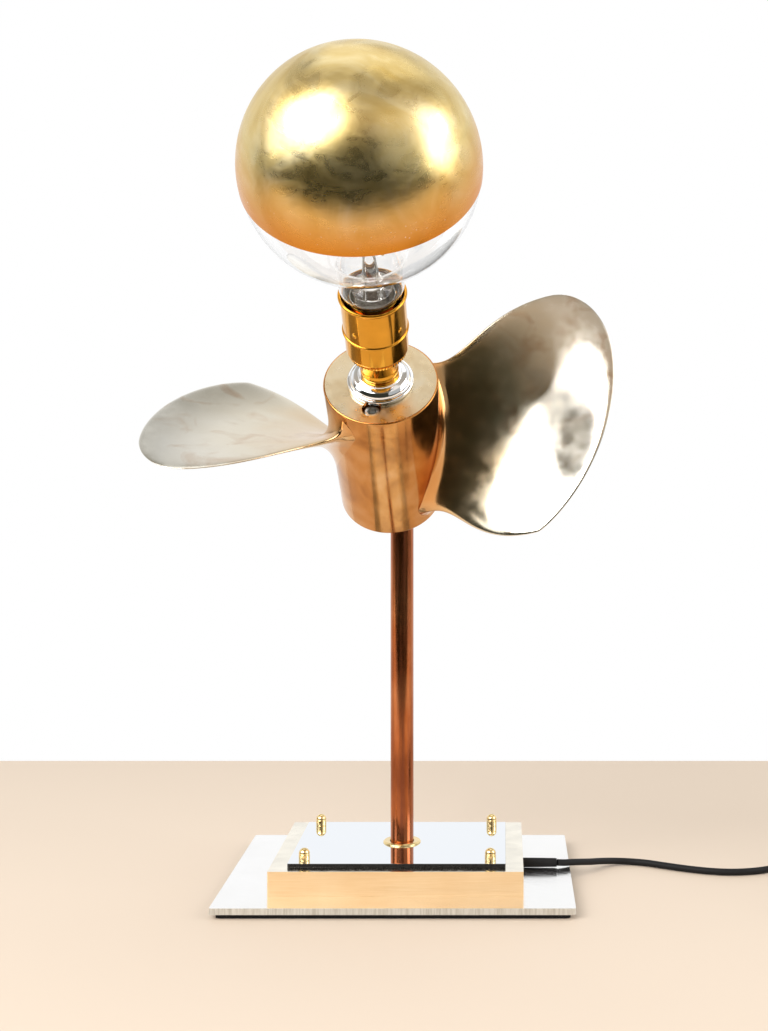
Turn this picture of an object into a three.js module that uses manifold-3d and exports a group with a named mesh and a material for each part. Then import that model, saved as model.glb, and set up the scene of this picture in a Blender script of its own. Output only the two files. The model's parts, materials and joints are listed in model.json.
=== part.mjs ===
// Table lamp made from a two-blade bronze boat propeller.
// The hub leans forward on a bent copper stem, and a globe bulb with a gilded crown stands on its upper face.
// Millimetres, +Z up. The origin is under the stem, on the underside of the base pad. -Y is the front.

import * as THREE from "three";
import { mergeVertices } from "three/addons/utils/BufferGeometryUtils.js";
import Module from "manifold-3d";

const wasm = await Module();
wasm.setup();

// ---- Driving dimensions ----

const GAP = 0.3;                   // clearance between neighbouring pieces
const FINE = 24;                   // facets round the large turned pieces
const COARSE = 14;                 // facets round the small and hidden ones

// Base stack, bottom to top: [length in X, depth in Y, thickness]
const PAD = [213, 159, 3];
const PLATE = [219, 165, 4];
const BLOCK = [157, 118.5, 15];
const MIRROR = [135, 101, 2.5];
const PLATE_Z = PAD[2];
const BLOCK_Z = PLATE_Z + PLATE[2];
const MIRROR_Z = BLOCK_Z + BLOCK[2];
const TOP_Z = MIRROR_Z + MIRROR[2];

const STUD = { x: 58, y: 42, radius: 2, bottom: 12, top: 29 };
const NUT = { radius: 3.5, shoulder: 4.1, height: 7.6 };
const BLOCK_SCREW = { x: 66, y: 20, radius: 1.9, head: 3.9, top: 15 };
const COLLAR = { radius: 12.25, thickness: 1.4 };

// Copper stem
const STEM = { outer: 7.5, inner: 6.8, bottom: BLOCK_Z + 0.2, bend: 30 };
const STEM_HOLE = STEM.outer + GAP;

// Cord
const FLEX_RADIUS = 2.2;
const CORD_EXIT = { y: 2.5, z: 10.25 };
const RELIEF = { radius: 3, tip: 2.8, inside: 14, outside: 22.5 };
const GROOVE = { width: 6.6, height: 6.6 };

// Hub: the axis leans up at HUB_RISE and the stations along it count from the upper face
const HUB_RISE = 40;
const HUB_FACE = new THREE.Vector3(-6.1, -92, 320.5);
const HUB = { length: 107, faceRadius: 34, endRadius: 32, bore: 15, bush: 14.7 };
const LOCK_HOLE = { radius: 5, depth: 15, offset: 22, angle: -11 };

// Blade: edges are arc lengths along the pitch helix, measured from the blade's middle line
const BLADE = {
  tip: 143.5, inner: 24, root: 33, turn: 15.8, station: -44, rake: 0.32,
  rootPitch: 60, tipPitch: 22, pitchFade: 0.4, skew: 0.3, skewBack: -0.0025,
  lead: { chord: 37, widest: 120, narrowing: 0.9, roundness: 2.5 },
  trail: { chord: 114, widest: 111, narrowing: 0.77, roundness: 1.35 },
  flare: 40, flareFade: 13.7, thickRoot: 7.5, thickTip: 2.6, fillet: 12, filletFade: 6,
  sides: 16, stations: 18,
};

// Lampholder and bulb, as stations above the hub's upper face
const CAP_RADIUS = 13.05;
const GLOBE = { radius: 61.6, centre: 159.6, wall: 0.9, neck: 18.3, blend: 10, neckFoot: 72.1 };
const CROWN = { inner: 61.9, outer: 62.1, rim: -4.8 };

// ---- Materials ----

function finish(color, roughness, metalness) {
  return new THREE.MeshStandardMaterial({ color, roughness, metalness });
}

const BRONZE = finish(0xc98a4b, 0.15, 1);
const BRASS = finish(0xd9a441, 0.18, 1);
const SATIN_BRASS = finish(0xd9b36c, 0.4, 1);
const COPPER = finish(0xb8653a, 0.25, 1);
const CHROME = finish(0xe4e8ec, 0.08, 1);
const ALUMINIUM = finish(0xd8dcdc, 0.2, 1);
const STEEL = finish(0x9a9a98, 0.35, 1);
const MIRROR_GLASS = finish(0xdfe8f0, 0.03, 1);
const GOLD_LEAF = finish(0xd8a53a, 0.22, 1);
const CERAMIC = finish(0xe9e4d8, 0.4, 0);
const RUBBER = finish(0x141414, 0.9, 0);
const BLACK_PLASTIC = finish(0x161616, 0.5, 0);
const CORD_BLACK = finish(0x101010, 0.7, 0);
const FILAMENT = finish(0xd8b24a, 0.6, 0);
const CLEAR_GLASS = new THREE.MeshStandardMaterial({
  color: 0xffffff, roughness: 0.02, metalness: 0, transparent: true, opacity: 0.3,
});

// ---- Geometry helpers ----

// A boolean solid from a closed geometry
function solid(geometry) {
  let bare = geometry.clone();
  bare.deleteAttribute("normal");
  bare.deleteAttribute("uv");
  bare = mergeVertices(bare, 1e-4);
  const mesh = new wasm.Mesh({
    numProp: 3,
    vertProperties: new Float32Array(bare.attributes.position.array),
    triVerts: new Uint32Array(bare.index.array),
  });
  return new wasm.Manifold(mesh);
}

// Back from a boolean solid to a geometry
function geometryOf(manifold) {
  const mesh = manifold.getMesh();
  const geometry = new THREE.BufferGeometry();
  geometry.setAttribute("position", new THREE.BufferAttribute(new Float32Array(mesh.vertProperties), 3));
  geometry.setIndex(new THREE.BufferAttribute(new Uint32Array(mesh.triVerts), 1));
  geometry.computeVertexNormals();
  return geometry;
}

// body with every tool cut away
function cut(body, ...tools) {
  let result = solid(body);
  for (const tool of tools) result = result.subtract(solid(tool));
  return geometryOf(result);
}

// A profile of [radius, z] turned about the Z axis. It closes on itself unless it starts and ends on the axis.
function turned(profile, facets = FINE) {
  const points = profile.map(([r, z]) => new THREE.Vector2(r, z));
  const onAxis = points[0].x === 0 && points[points.length - 1].x === 0;
  if (!onAxis) points.push(points[0].clone());
  const geometry = new THREE.LatheGeometry(points, facets);
  geometry.rotateX(Math.PI / 2);
  if (signedVolume(geometry) < 0) flip(geometry);
  return geometry;
}

function signedVolume(geometry) {
  const p = geometry.attributes.position;
  const index = geometry.index.array;
  const [a, b, c] = [new THREE.Vector3(), new THREE.Vector3(), new THREE.Vector3()];
  let sum = 0;
  for (let i = 0; i < index.length; i += 3) {
    a.fromBufferAttribute(p, index[i]);
    b.fromBufferAttribute(p, index[i + 1]);
    c.fromBufferAttribute(p, index[i + 2]);
    sum += a.dot(b.cross(c));
  }
  return sum;
}

function flip(geometry) {
  const index = geometry.index.array;
  for (let i = 0; i < index.length; i += 3) [index[i], index[i + 1]] = [index[i + 1], index[i]];
}

// Points of an arc as [radius, z], angles in degrees from the outward direction
function arc(r, z, radius, from, to, steps) {
  const points = [];
  for (let i = 0; i <= steps; i++) {
    const angle = THREE.MathUtils.degToRad(from + (to - from) * i / steps);
    points.push([r + radius * Math.cos(angle), z + radius * Math.sin(angle)]);
  }
  return points;
}

// A plain rod along Z between two heights
function rod(radius, low, high, x = 0, y = 0, facets = COARSE) {
  const geometry = new THREE.CylinderGeometry(radius, radius, high - low, facets);
  geometry.rotateX(Math.PI / 2);
  return geometry.translate(x, y, (low + high) / 2);
}

// A slab with rounded upright corners, standing on height z
function slab([length, depth, thickness], z, corner) {
  const [x, y] = [length / 2, depth / 2];
  const shape = new THREE.Shape();
  shape.moveTo(-x + corner, -y);
  shape.lineTo(x - corner, -y);
  shape.absarc(x - corner, -y + corner, corner, -Math.PI / 2, 0, false);
  shape.absarc(x - corner, y - corner, corner, 0, Math.PI / 2, false);
  shape.absarc(-x + corner, y - corner, corner, Math.PI / 2, Math.PI, false);
  shape.absarc(-x + corner, -y + corner, corner, Math.PI, 1.5 * Math.PI, false);
  const geometry = new THREE.ExtrudeGeometry(shape, { depth: thickness, bevelEnabled: false, curveSegments: 2 });
  return geometry.translate(0, 0, z);
}

function circle(radius, facets) {
  const points = [];
  for (let i = 0; i < facets; i++) {
    const angle = 2 * Math.PI * i / facets;
    points.push(new THREE.Vector2(radius * Math.cos(angle), radius * Math.sin(angle)));
  }
  return new THREE.Shape(points);
}

// A round section swept along a curve
function swept(curve, radius, facets, steps, bore = 0) {
  const section = circle(radius, facets);
  if (bore) section.holes.push(circle(bore, facets));
  return new THREE.ExtrudeGeometry(section, { steps, bevelEnabled: false, extrudePath: curve });
}

function spline(points) {
  return new THREE.CatmullRomCurve3(points.map((p) => new THREE.Vector3(...p)), false, "centripetal");
}

const lamp = new THREE.Group();
const head = new THREE.Group();    // hub, lampholder and bulb: +Z is the hub's axis
head.position.copy(HUB_FACE);
head.rotation.x = THREE.MathUtils.degToRad(90 - HUB_RISE);
lamp.add(head);

function piece(name, geometry, material, parent = lamp) {
  const mesh = new THREE.Mesh(geometry, material);
  mesh.name = name;
  parent.add(mesh);
  return mesh;
}

// The four corners of a rectangle, numbered from 1 at the front left
function corners(x, y) {
  return [[-x, -y], [x, -y], [x, y], [-x, y]];
}

// ---- Base ----

function makeBase() {
  piece("base_pad", slab(PAD, 0, 3), RUBBER);

  const screws = corners(BLOCK_SCREW.x, BLOCK_SCREW.y);
  const studs = corners(STUD.x, STUD.y);
  const headRadius = BLOCK_SCREW.head + GAP;
  const shankHole = BLOCK_SCREW.radius + GAP;
  const sinks = screws.map(([x, y]) =>
    turned([[0, 2], [headRadius, 2], [headRadius, 3.3], [shankHole, 5.5], [shankHole, 8], [0, 8]], COARSE)
      .translate(x, y, 0));
  piece("base_plate", cut(slab(PLATE, PLATE_Z, 1.5), ...sinks), ALUMINIUM);

  const groove = new THREE.BoxGeometry(BLOCK[0], GROOVE.width, GROOVE.height * 2)
    .translate(BLOCK[0] / 2, CORD_EXIT.y, BLOCK_Z);
  const setScrewHole = new THREE.CylinderGeometry(2.2, 2.2, 60, COARSE).translate(0, 34, 14.5);
  const blockTools = [
    rod(STEM_HOLE, 0, 30, 0, 0, FINE),
    groove,
    setScrewHole,
    ...screws.map(([x, y]) => rod(shankHole, 0, BLOCK_SCREW.top + 1, x, y)),
    ...studs.map(([x, y]) => rod(STUD.radius + GAP, STUD.bottom - GAP, 30, x, y)),
  ];
  piece("base_block", cut(slab(BLOCK, BLOCK_Z, 0.8), ...blockTools), SATIN_BRASS);

  const mirrorTools = [
    rod(STEM_HOLE, 0, 30, 0, 0, FINE),
    ...studs.map(([x, y]) => rod(STUD.radius + GAP, 0, 30, x, y)),
  ];
  piece("mirror_plate", cut(slab(MIRROR, MIRROR_Z, 0.8), ...mirrorTools), MIRROR_GLASS);

  screws.forEach(([x, y], i) => {
    const profile = [[0, 3.3], [BLOCK_SCREW.head, 3.3], [BLOCK_SCREW.radius, 5.4],
      [BLOCK_SCREW.radius, BLOCK_SCREW.top], [0, BLOCK_SCREW.top]];
    piece(`block_screw_${i + 1}`, turned(profile, 12), STEEL).position.set(x, y, 0);
  });
  studs.forEach(([x, y], i) => {
    piece(`stud_${i + 1}`, rod(STUD.radius, STUD.bottom, STUD.top, 0, 0, 12), STEEL).position.set(x, y, 0);
    piece(`dome_nut_${i + 1}`, domeNut(), BRASS).position.set(x, y, TOP_Z);
  });

  const collarTop = COLLAR.thickness;
  const collar = [[STEM_HOLE, 0], [COLLAR.radius, 0], [COLLAR.radius, collarTop - 0.5],
    [COLLAR.radius - 0.7, collarTop], [STEM_HOLE, collarTop]];
  piece("stem_collar", turned(collar), BRASS).position.z = TOP_Z;

  const setScrew = new THREE.CylinderGeometry(2, 2, 10, 12);
  piece("stem_set_screw", setScrew, STEEL).position.set(0, STEM_HOLE + 5.2, 14.5);
}

// Closed at the top with a blind threaded hole for its stud
function domeNut() {
  const bore = STUD.radius + GAP;
  const depth = STUD.top - TOP_Z + GAP;
  const dome = [];
  for (let i = 0; i <= 4; i++) {
    const angle = Math.PI / 2 * (1 - i / 4);
    dome.push([NUT.radius * Math.cos(angle), NUT.shoulder + (NUT.height - NUT.shoulder) * Math.sin(angle)]);
  }
  dome[0][0] = 0;
  return turned([...dome, [NUT.radius, 0], [bore, 0], [bore, depth], [0, depth]], 12);
}

// ---- Stem ----

const rise = THREE.MathUtils.degToRad(HUB_RISE);
const axis = new THREE.Vector3(0, -Math.cos(rise), Math.sin(rise));
const meetZ = HUB_FACE.z + HUB_FACE.y * Math.tan(rise);   // where the hub's axis crosses the stem's upright line
const bendAngle = Math.PI / 2 - rise;
const bendStart = meetZ - STEM.bend * Math.tan(bendAngle / 2);
const STEM_END = -80;              // station of the stem's top end inside the hub

// A point on the stem's own upper straight, at a station below the hub's upper face
function stemStation(station) {
  return new THREE.Vector3(0, HUB_FACE.y, HUB_FACE.z).addScaledVector(axis, station);
}

function bendPoint(angle) {
  return new THREE.Vector3(0, STEM.bend * (Math.cos(angle) - 1), bendStart + STEM.bend * Math.sin(angle));
}

class StemLine extends THREE.Curve {
  constructor() {
    super();
    this.upright = bendStart - STEM.bottom;
    this.turning = STEM.bend * bendAngle;
    this.leaning = stemStation(STEM_END).distanceTo(bendPoint(bendAngle));
  }

  getPoint(t, target = new THREE.Vector3()) {
    const along = t * (this.upright + this.turning + this.leaning);
    if (along < this.upright) return target.set(0, 0, STEM.bottom + along);
    const past = along - this.upright;
    if (past < this.turning) return target.copy(bendPoint(past / STEM.bend));
    return target.copy(bendPoint(bendAngle)).addScaledVector(axis, past - this.turning);
  }
}

function makeStem() {
  const tube = swept(new StemLine(), STEM.outer, 12, 32, STEM.inner);
  const notch = new THREE.BoxGeometry(20, GROOVE.width, 20).translate(10, CORD_EXIT.y, 6.5);
  piece("stem_tube", cut(tube, notch), COPPER);
}

// ---- Propeller ----

// How far one edge lies from the middle line at a radius
function halfChord(radius, edge) {
  if (radius < edge.widest) {
    const inward = (edge.widest - radius) / (edge.widest - BLADE.root);
    return edge.chord * (1 - edge.narrowing * inward ** 2);
  }
  const outward = Math.min(1, (radius - edge.widest) / (BLADE.tip - edge.widest));
  return edge.chord * (1 - outward ** edge.roundness) ** (1 / edge.roundness);
}

// A point of one blade: along 0 at the root to 1 at the tip, across -1 to 1 from trailing to leading edge,
// through -1 to 1 from one face to the other
function bladePoint(along, across, through) {
  const radius = BLADE.inner + (BLADE.tip - BLADE.inner) * (1 - (1 - along) ** 1.7);
  const out = Math.max(radius, BLADE.root);
  const beyond = out - BLADE.root;
  const fraction = beyond / (BLADE.tip - BLADE.root);
  const flare = BLADE.flare * Math.exp(-beyond / BLADE.flareFade);
  const middle = BLADE.skew * beyond + BLADE.skewBack * beyond ** 2;
  const lead = middle + halfChord(out, BLADE.lead) + flare;
  const trail = middle - halfChord(out, BLADE.trail) - flare;
  const chord = trail + (lead - trail) * (across + 1) / 2;
  const fade = BLADE.rootPitch + (BLADE.tipPitch - BLADE.rootPitch) * fraction ** BLADE.pitchFade;
  const pitch = THREE.MathUtils.degToRad(fade);
  const angle = THREE.MathUtils.degToRad(BLADE.turn) + chord * Math.cos(pitch) / out;
  const thickness = BLADE.thickRoot + (BLADE.thickTip - BLADE.thickRoot) * fraction
    + BLADE.fillet * Math.exp(-beyond / BLADE.filletFade);
  const lift = through * thickness / 2;
  const sideways = -lift * Math.sin(pitch);
  return new THREE.Vector3(
    radius * Math.cos(angle) - sideways * Math.sin(angle),
    radius * Math.sin(angle) + sideways * Math.cos(angle),
    BLADE.station + chord * Math.sin(pitch) + BLADE.rake * beyond + lift * Math.cos(pitch),
  );
}

// A cone bent to the blade's shape: its height is the span and its section the blade's section
function bladeSolid() {
  const geometry = new THREE.ConeGeometry(1, 1, BLADE.sides, BLADE.stations);
  const p = geometry.attributes.position;
  for (let i = 0; i < p.count; i++) {
    const along = p.getY(i) + 0.5;
    const spread = 1 - along;
    const across = spread > 1e-6 ? p.getX(i) / spread : 0;
    const through = spread > 1e-6 ? p.getZ(i) / spread : 0;
    const moved = bladePoint(along, across, through);
    p.setXYZ(i, moved.x, moved.y, moved.z);
  }
  if (signedVolume(geometry) < 0) flip(geometry);
  return geometry;
}

function makePropeller() {
  const { length, faceRadius, endRadius, bore } = HUB;
  const hub = turned([[bore, 0], [faceRadius - 1, 0], [faceRadius, -1], [endRadius, 1.5 - length],
    [endRadius - 1.5, -length], [bore, -length]], 32);
  const blade = bladeSolid();
  const opposite = blade.clone().rotateZ(Math.PI);
  const angle = THREE.MathUtils.degToRad(LOCK_HOLE.angle - 90);
  const [x, y] = [LOCK_HOLE.offset * Math.cos(angle), LOCK_HOLE.offset * Math.sin(angle)];
  const mouth = LOCK_HOLE.radius + 0.8;
  const hole = turned([[0, -LOCK_HOLE.depth], [LOCK_HOLE.radius, -LOCK_HOLE.depth], [LOCK_HOLE.radius, -0.8],
    [mouth, 0], [mouth, 1], [0, 1]], COARSE).translate(x, y, 0);
  const casting = solid(hub).add(solid(blade)).add(solid(opposite)).subtract(solid(hole));
  piece("propeller", geometryOf(casting), BRONZE, head);

  const screw = turned([[0, -12], [4.7, -12], [4.7, -2.6], [4.1, -2], [0, -2]], COARSE);
  const socket = rod(2.9, -7, 0, 0, 0, 6);
  piece("hub_lock_screw", cut(screw, socket), STEEL, head).position.set(x, y, -0.3);

  const stemHole = rod(STEM_HOLE, -120, 0, -HUB_FACE.x, 0, FINE);
  piece("stem_bush", cut(rod(HUB.bush, -102, -82, 0, 0, FINE), stemHole), SATIN_BRASS, head);
}

// ---- Lampholder ----

function makeHolder() {
  const hole = 5.2;
  const ring = (inner, outer, low, high) => [[inner, low], [outer, low], [outer, high], [inner, high]];
  piece("holder_bush", turned(ring(hole, HUB.bush, -14, 0), COARSE), SATIN_BRASS, head);
  piece("holder_nipple", turned(ring(3, hole - GAP, -22, 32.3), 16), STEEL, head);
  piece("nipple_nut", cut(rod(8, -19, -14.3, 0, 0, 6), rod(hole, -20, 0, 0, 0, 16)), STEEL, head);

  const dome = [[hole, GAP], [19.7, GAP], [19.7, 3], [18.9, 4.6], [17, 6], [14.5, 7], [12.8, 7.3], [12.5, 8.2],
    [hole, 8.2]];
  piece("chrome_dome", turned(dome), CHROME, head);

  const neck = [[hole, 8.5], [9.6, 8.5], [11, 9.6], [11.2, 12], [10.6, 13.4], [10.4, 17], [10.8, 21],
    [12.6, 24.4], [13.4, 25.2], [13.4, 25.7], [hole, 25.7]];
  piece("holder_neck", turned(neck, 24), BRASS, head);
  piece("knurled_ring", knurledRing(hole), BRASS, head).position.z = 26;

  const cup = [[hole, 29.3], [17, 29.3], [17.8, 29.9], [18, 30.9], [18, 44.7], [16.9, 44.7], [16.9, 32.5],
    [hole, 32.5]];
  piece("holder_body", turned(cup), BRASS, head);
  piece("holder_shell", holderShell(), BRASS, head);

  const insert = [[3.2, 32.9], [16.5, 32.9], [16.5, 56], [14.9, 56], [14.9, 42], [3.2, 42]];
  piece("ceramic_insert", turned(insert, 24), CERAMIC, head);
  piece("thread_shell", turned(ring(13.45, 14.5, 46, 70), 24), BRASS, head);

  const tongue = new THREE.BoxGeometry(15, 5, 0.6).rotateY(-0.16);
  piece("contact_tongue", tongue, BRASS, head).position.set(-4.5, 0, 43.6);
}

function knurledRing(hole) {
  const teeth = 24;
  const points = [];
  for (let i = 0; i < 2 * teeth; i++) {
    const radius = i % 2 ? 16.8 : 16.1;
    const angle = Math.PI * i / teeth;
    points.push(new THREE.Vector2(radius * Math.cos(angle), radius * Math.sin(angle)));
  }
  const shape = new THREE.Shape(points);
  shape.holes.push(circle(hole, 16));
  return new THREE.ExtrudeGeometry(shape, { depth: 2.9, bevelEnabled: false });
}

// Rolled rim at the mouth, bead at the foot and four pressed lugs that grip the insert
function holderShell() {
  const wall = turned([[17.2, 45], [19, 45], [19, 46.2], [18.25, 46.8], [18.25, 69.6], [19.3, 70.6],
    [19.3, 71.6], [18.7, 72.2], [17.2, 72.2]]);
  let shell = solid(wall);
  for (let i = 0; i < 4; i++) {
    const angle = THREE.MathUtils.degToRad(-125 + 90 * i);
    const lug = new THREE.SphereGeometry(1, 10, 6).scale(0.9, 1.4, 2);
    lug.rotateZ(angle).translate(18.1 * Math.cos(angle), 18.1 * Math.sin(angle), 53);
    shell = shell.add(solid(lug));
  }
  return geometryOf(shell);
}

// ---- Bulb ----

function makeBulb() {
  const contact = [[0, 45], [3.2, 45.2], [3.6, 46], [5.1, 46.7], [5.1, 48.6], [0, 48.6]];
  piece("bulb_contact", turned(contact, COARSE), STEEL, head);

  const cap = [[5.5, 47.2], [9, 47.2], [12, 49.5], [CAP_RADIUS, 51], [CAP_RADIUS, 71.7], [12.5, 71.7],
    [12.5, 51.3], [11.7, 50], [8.8, 47.8], [5.5, 47.8]];
  piece("bulb_cap", turned(cap, 24), BRASS, head);
  piece("bulb_glass", turned([...globeProfile(0), ...globeProfile(GLOBE.wall).reverse()]), CLEAR_GLASS, head);

  const rimOut = THREE.MathUtils.radToDeg(Math.asin(CROWN.rim / CROWN.outer));
  const outside = arc(0, GLOBE.centre, CROWN.outer, 90, rimOut, 10);
  const inside = arc(0, GLOBE.centre, CROWN.inner, rimOut, 90, 10);
  outside[0][0] = 0;
  inside[10][0] = 0;
  piece("gold_crown", turned([...outside, ...inside]), GOLD_LEAF, head);

  const mount = [[0, 75.5], [11, 75.5], [11, 76.2], [7, 79], [4.8, 84], [4.4, 100], [3, 106], [0, 106]];
  piece("glass_mount", turned(mount, 16), CLEAR_GLASS, head);
  for (let i = 0; i < 4; i++) {
    const angle = Math.PI * (2 * i + 1) / 4;
    const thread = rod(1.1, 107, 145, 0, 0, 8);
    const [x, y] = [12 * Math.cos(angle), 12 * Math.sin(angle)];
    piece(`filament_${i + 1}`, thread, FILAMENT, head).position.set(x, y, 0);
  }
}

// The globe's section from its crown to its foot, shrunk inward by a wall
function globeProfile(wall) {
  const radius = GLOBE.radius - wall;
  const neck = GLOBE.neck - wall;
  const blend = GLOBE.blend + wall;
  const reach = radius + blend;
  const drop = Math.sqrt(reach ** 2 - (neck + blend) ** 2);
  const join = THREE.MathUtils.radToDeg(Math.atan2(-drop, neck + blend));
  const sphere = arc(0, GLOBE.centre, radius, 90, join, 16);
  sphere[0][0] = 0;
  const bend = arc(neck + blend, GLOBE.centre - drop, blend, 180 + join, 180, 4).slice(1);
  const foot = [[neck, 79], [neck - 1, 75.4], [neck - 4.6, GLOBE.neckFoot + wall * 0.4]];
  return [...sphere, ...bend, ...foot];
}

// ---- Cord ----

// The hidden flex: along the groove, up inside the stem and through the hub to the lampholder
function makeInnerFlex() {
  const low = CORD_EXIT.z;
  const alongHub = (station) => HUB_FACE.clone().addScaledVector(axis, station).toArray();
  const end = BLOCK[0] / 2 + RELIEF.outside - GAP;
  const points = [
    [end, CORD_EXIT.y, low], [55, CORD_EXIT.y, low], [18, CORD_EXIT.y, low], [8, 1.8, low + 0.3], [2.4, 0.8, 13],
    [-0.8, 0, 18.5], [-1, 0, 30], [0, 0, 80], [0, 0, 160], [0, 0, bendStart - 8],
    bendPoint(bendAngle / 2).toArray(), stemStation(-100).toArray(), stemStation(-78).toArray(),
    alongHub(-40), alongHub(-22), alongHub(0), alongHub(36),
  ];
  piece("inner_flex", swept(spline(points), FLEX_RADIUS, 8, 56), CORD_BLACK);

  const length = RELIEF.inside + RELIEF.outside;
  const bore = FLEX_RADIUS + GAP;
  const relief = [[bore, 0], [RELIEF.radius, 0], [RELIEF.radius, RELIEF.inside + 6], [RELIEF.tip, length],
    [bore, length]];
  piece("cord_relief", turned(relief, 16).rotateY(Math.PI / 2), RUBBER)
    .position.set(BLOCK[0] / 2 - RELIEF.inside, CORD_EXIT.y, low);
}

const SWITCH = { x: 302, y: 25, length: 60, width: 22, seam: 7.2, height: 13.6 };
const COIL = { x: 310.8, y: -30, inner: 18.4, outer: 32.4, height: 14 };
const PLUG = { x: 302, y: -77, z: 7.4, length: 36, width: 32, thickness: 13.6 };

// The free cord's own route, as far as it isn't coiled
const LEAD_ROUTE = [
  [101.4, 2.6, 10.2], [106, 3.6, 9.8], [111, 6, 9.4], [117, 10.5, 8.3], [124, 17, 6.6], [131, 24, 5],
  [140, 30.5, 3.3], [150, 32.6, 2.4], [162, 29.5, 2.3], [175, 22.5, 2.3], [190, 15, 2.3], [204, 10, 2.3],
  [217, 8.3, 2.3], [229, 10, 2.3], [240, 14, 2.3], [250, 19, 2.8], [258, 22.8, 4.4], [265, 24.8, 6.4],
  [271.7, 25, SWITCH.seam],
];
const MIDDLE_ROUTE = [
  [332.3, 25, SWITCH.seam], [340, 24.4, 6], [348, 20.5, 3.4], [353.5, 13, 2.3], [355, 4, 2.3],
  [352.2, -6, 2.3], [348.8, -15, 2.3], [345.4, -24, 2.3],
];
const TAIL_ROUTE = [
  [345.6, -39, 9.8], [345.4, -49.5, 7], [341.6, -59.6, 4.4], [335, -68, 3], [326, -74, 3.2], [315, -76.7, 5.6],
  [302.4, -77, PLUG.z],
];

function makeFreeCord() {
  piece("flex_lead", swept(spline(LEAD_ROUTE), FLEX_RADIUS, 8, 20), CORD_BLACK);
  piece("flex_middle", swept(spline(MIDDLE_ROUTE), FLEX_RADIUS, 8, 7), CORD_BLACK);
  piece("flex_tail", swept(spline(TAIL_ROUTE), FLEX_RADIUS, 8, 7), CORD_BLACK);
  const { inner, outer, height } = COIL;
  const ring = [[inner + 2, 0], [outer - 2, 0], [outer, 2], [outer, height - 2], [outer - 2, height],
    [inner + 2, height], [inner, height - 2], [inner, 2]];
  piece("flex_coil", turned(ring, 24), CORD_BLACK).position.set(COIL.x, COIL.y, 0);
  piece("coil_tie", coilTie(), RUBBER).position.set(COIL.x, COIL.y, 0);
}

// A strap over the top and both sides of the coil's turns
function coilTie() {
  const [left, right, top] = [-COIL.outer - GAP, -COIL.inner + 3 * GAP, COIL.height + GAP];
  const strap = new THREE.Shape([
    new THREE.Vector2(left - 0.8, 0), new THREE.Vector2(left, 0), new THREE.Vector2(left, top),
    new THREE.Vector2(right, top), new THREE.Vector2(right, 0), new THREE.Vector2(right + 0.8, 0),
    new THREE.Vector2(right + 0.8, top + 0.8), new THREE.Vector2(left - 0.8, top + 0.8),
  ]);
  const geometry = new THREE.ExtrudeGeometry(strap, { depth: 6, bevelEnabled: false });
  return geometry.rotateX(Math.PI / 2).translate(0, 3, 0);
}

// ---- Inline switch ----

function makeSwitch() {
  const { length, width, seam, height } = SWITCH;
  const place = (mesh) => mesh.position.set(SWITCH.x, SWITCH.y, 0);
  const cordHole = new THREE.CylinderGeometry(2.6, 2.6, 2 * length, COARSE).rotateZ(Math.PI / 2)
    .translate(0, 0, seam);
  const cavity = new THREE.BoxGeometry(length - 26, width - 5, 9).translate(0, 0, seam);
  const screwHoles = [-1, 1].map((side) => rod(1.5, 1.8, 20, side * 22, 6, 12));
  const lower = slab([length, width, seam], 0, 5);
  const upper = slab([length, width, height - seam], seam, 5);
  const slot = new THREE.BoxGeometry(20, 9.6, 20).translate(0, 0, height);
  place(piece("switch_base", cut(lower, cavity, cordHole, ...screwHoles), BLACK_PLASTIC));
  place(piece("switch_cover", cut(upper, cavity, cordHole, slot, ...screwHoles), BLACK_PLASTIC));

  const rocker = new THREE.Shape([
    new THREE.Vector2(-9.2, 0.4), new THREE.Vector2(-2, -2.2), new THREE.Vector2(2, -2.2),
    new THREE.Vector2(9.2, 0.4), new THREE.Vector2(9.2, 3), new THREE.Vector2(0, 3.6), new THREE.Vector2(-9.2, 3),
  ]);
  const rockerSolid = new THREE.ExtrudeGeometry(rocker, { depth: 8.6, bevelEnabled: false })
    .rotateX(Math.PI / 2).translate(0, 4.3, 0).rotateY(THREE.MathUtils.degToRad(-8));
  piece("switch_rocker", rockerSolid, BLACK_PLASTIC).position.set(SWITCH.x, SWITCH.y, 11.4);

  const contact = new THREE.BoxGeometry(24, 4, 0.8);
  piece("switch_contact", contact, BRASS).position.set(SWITCH.x, SWITCH.y, 3.6);
  [-1, 1].forEach((side, i) => {
    const screw = turned([[0, 2.2], [1.2, 2.2], [1.2, height - 1], [0, height - 1]], 12);
    piece(`switch_screw_${i + 1}`, screw, STEEL).position.set(SWITCH.x + side * 22, SWITCH.y + 6, 0);
  });
}

// ---- Plug ----

function makePlug() {
  const { length, width, thickness } = PLUG;
  const [w, t] = [width / 2, 5];
  const outline = new THREE.Shape([
    new THREE.Vector2(0, -t), new THREE.Vector2(0, t), new THREE.Vector2(-14, w), new THREE.Vector2(-length, w),
    new THREE.Vector2(-length, -w), new THREE.Vector2(-14, -w),
  ]);
  const body = new THREE.ExtrudeGeometry(outline, { depth: thickness, bevelEnabled: false })
    .translate(0, 0, -thickness / 2);
  const pinRadius = 2;
  const pinHole = (y) => new THREE.CylinderGeometry(pinRadius + GAP, pinRadius + GAP, 20, 16).rotateZ(Math.PI / 2)
    .translate(-length, y, 0);
  piece("plug_body", cut(body, pinHole(-9.3), pinHole(9.3)), BLACK_PLASTIC).position.set(PLUG.x, PLUG.y, PLUG.z);
  [-9.3, 9.3].forEach((y, i) => {
    const pin = new THREE.CylinderGeometry(pinRadius, pinRadius, 28, 12).rotateZ(Math.PI / 2);
    piece(`plug_pin_${i + 1}`, pin, BRASS).position.set(PLUG.x - length - 5, PLUG.y + y, PLUG.z);
  });
}

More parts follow.
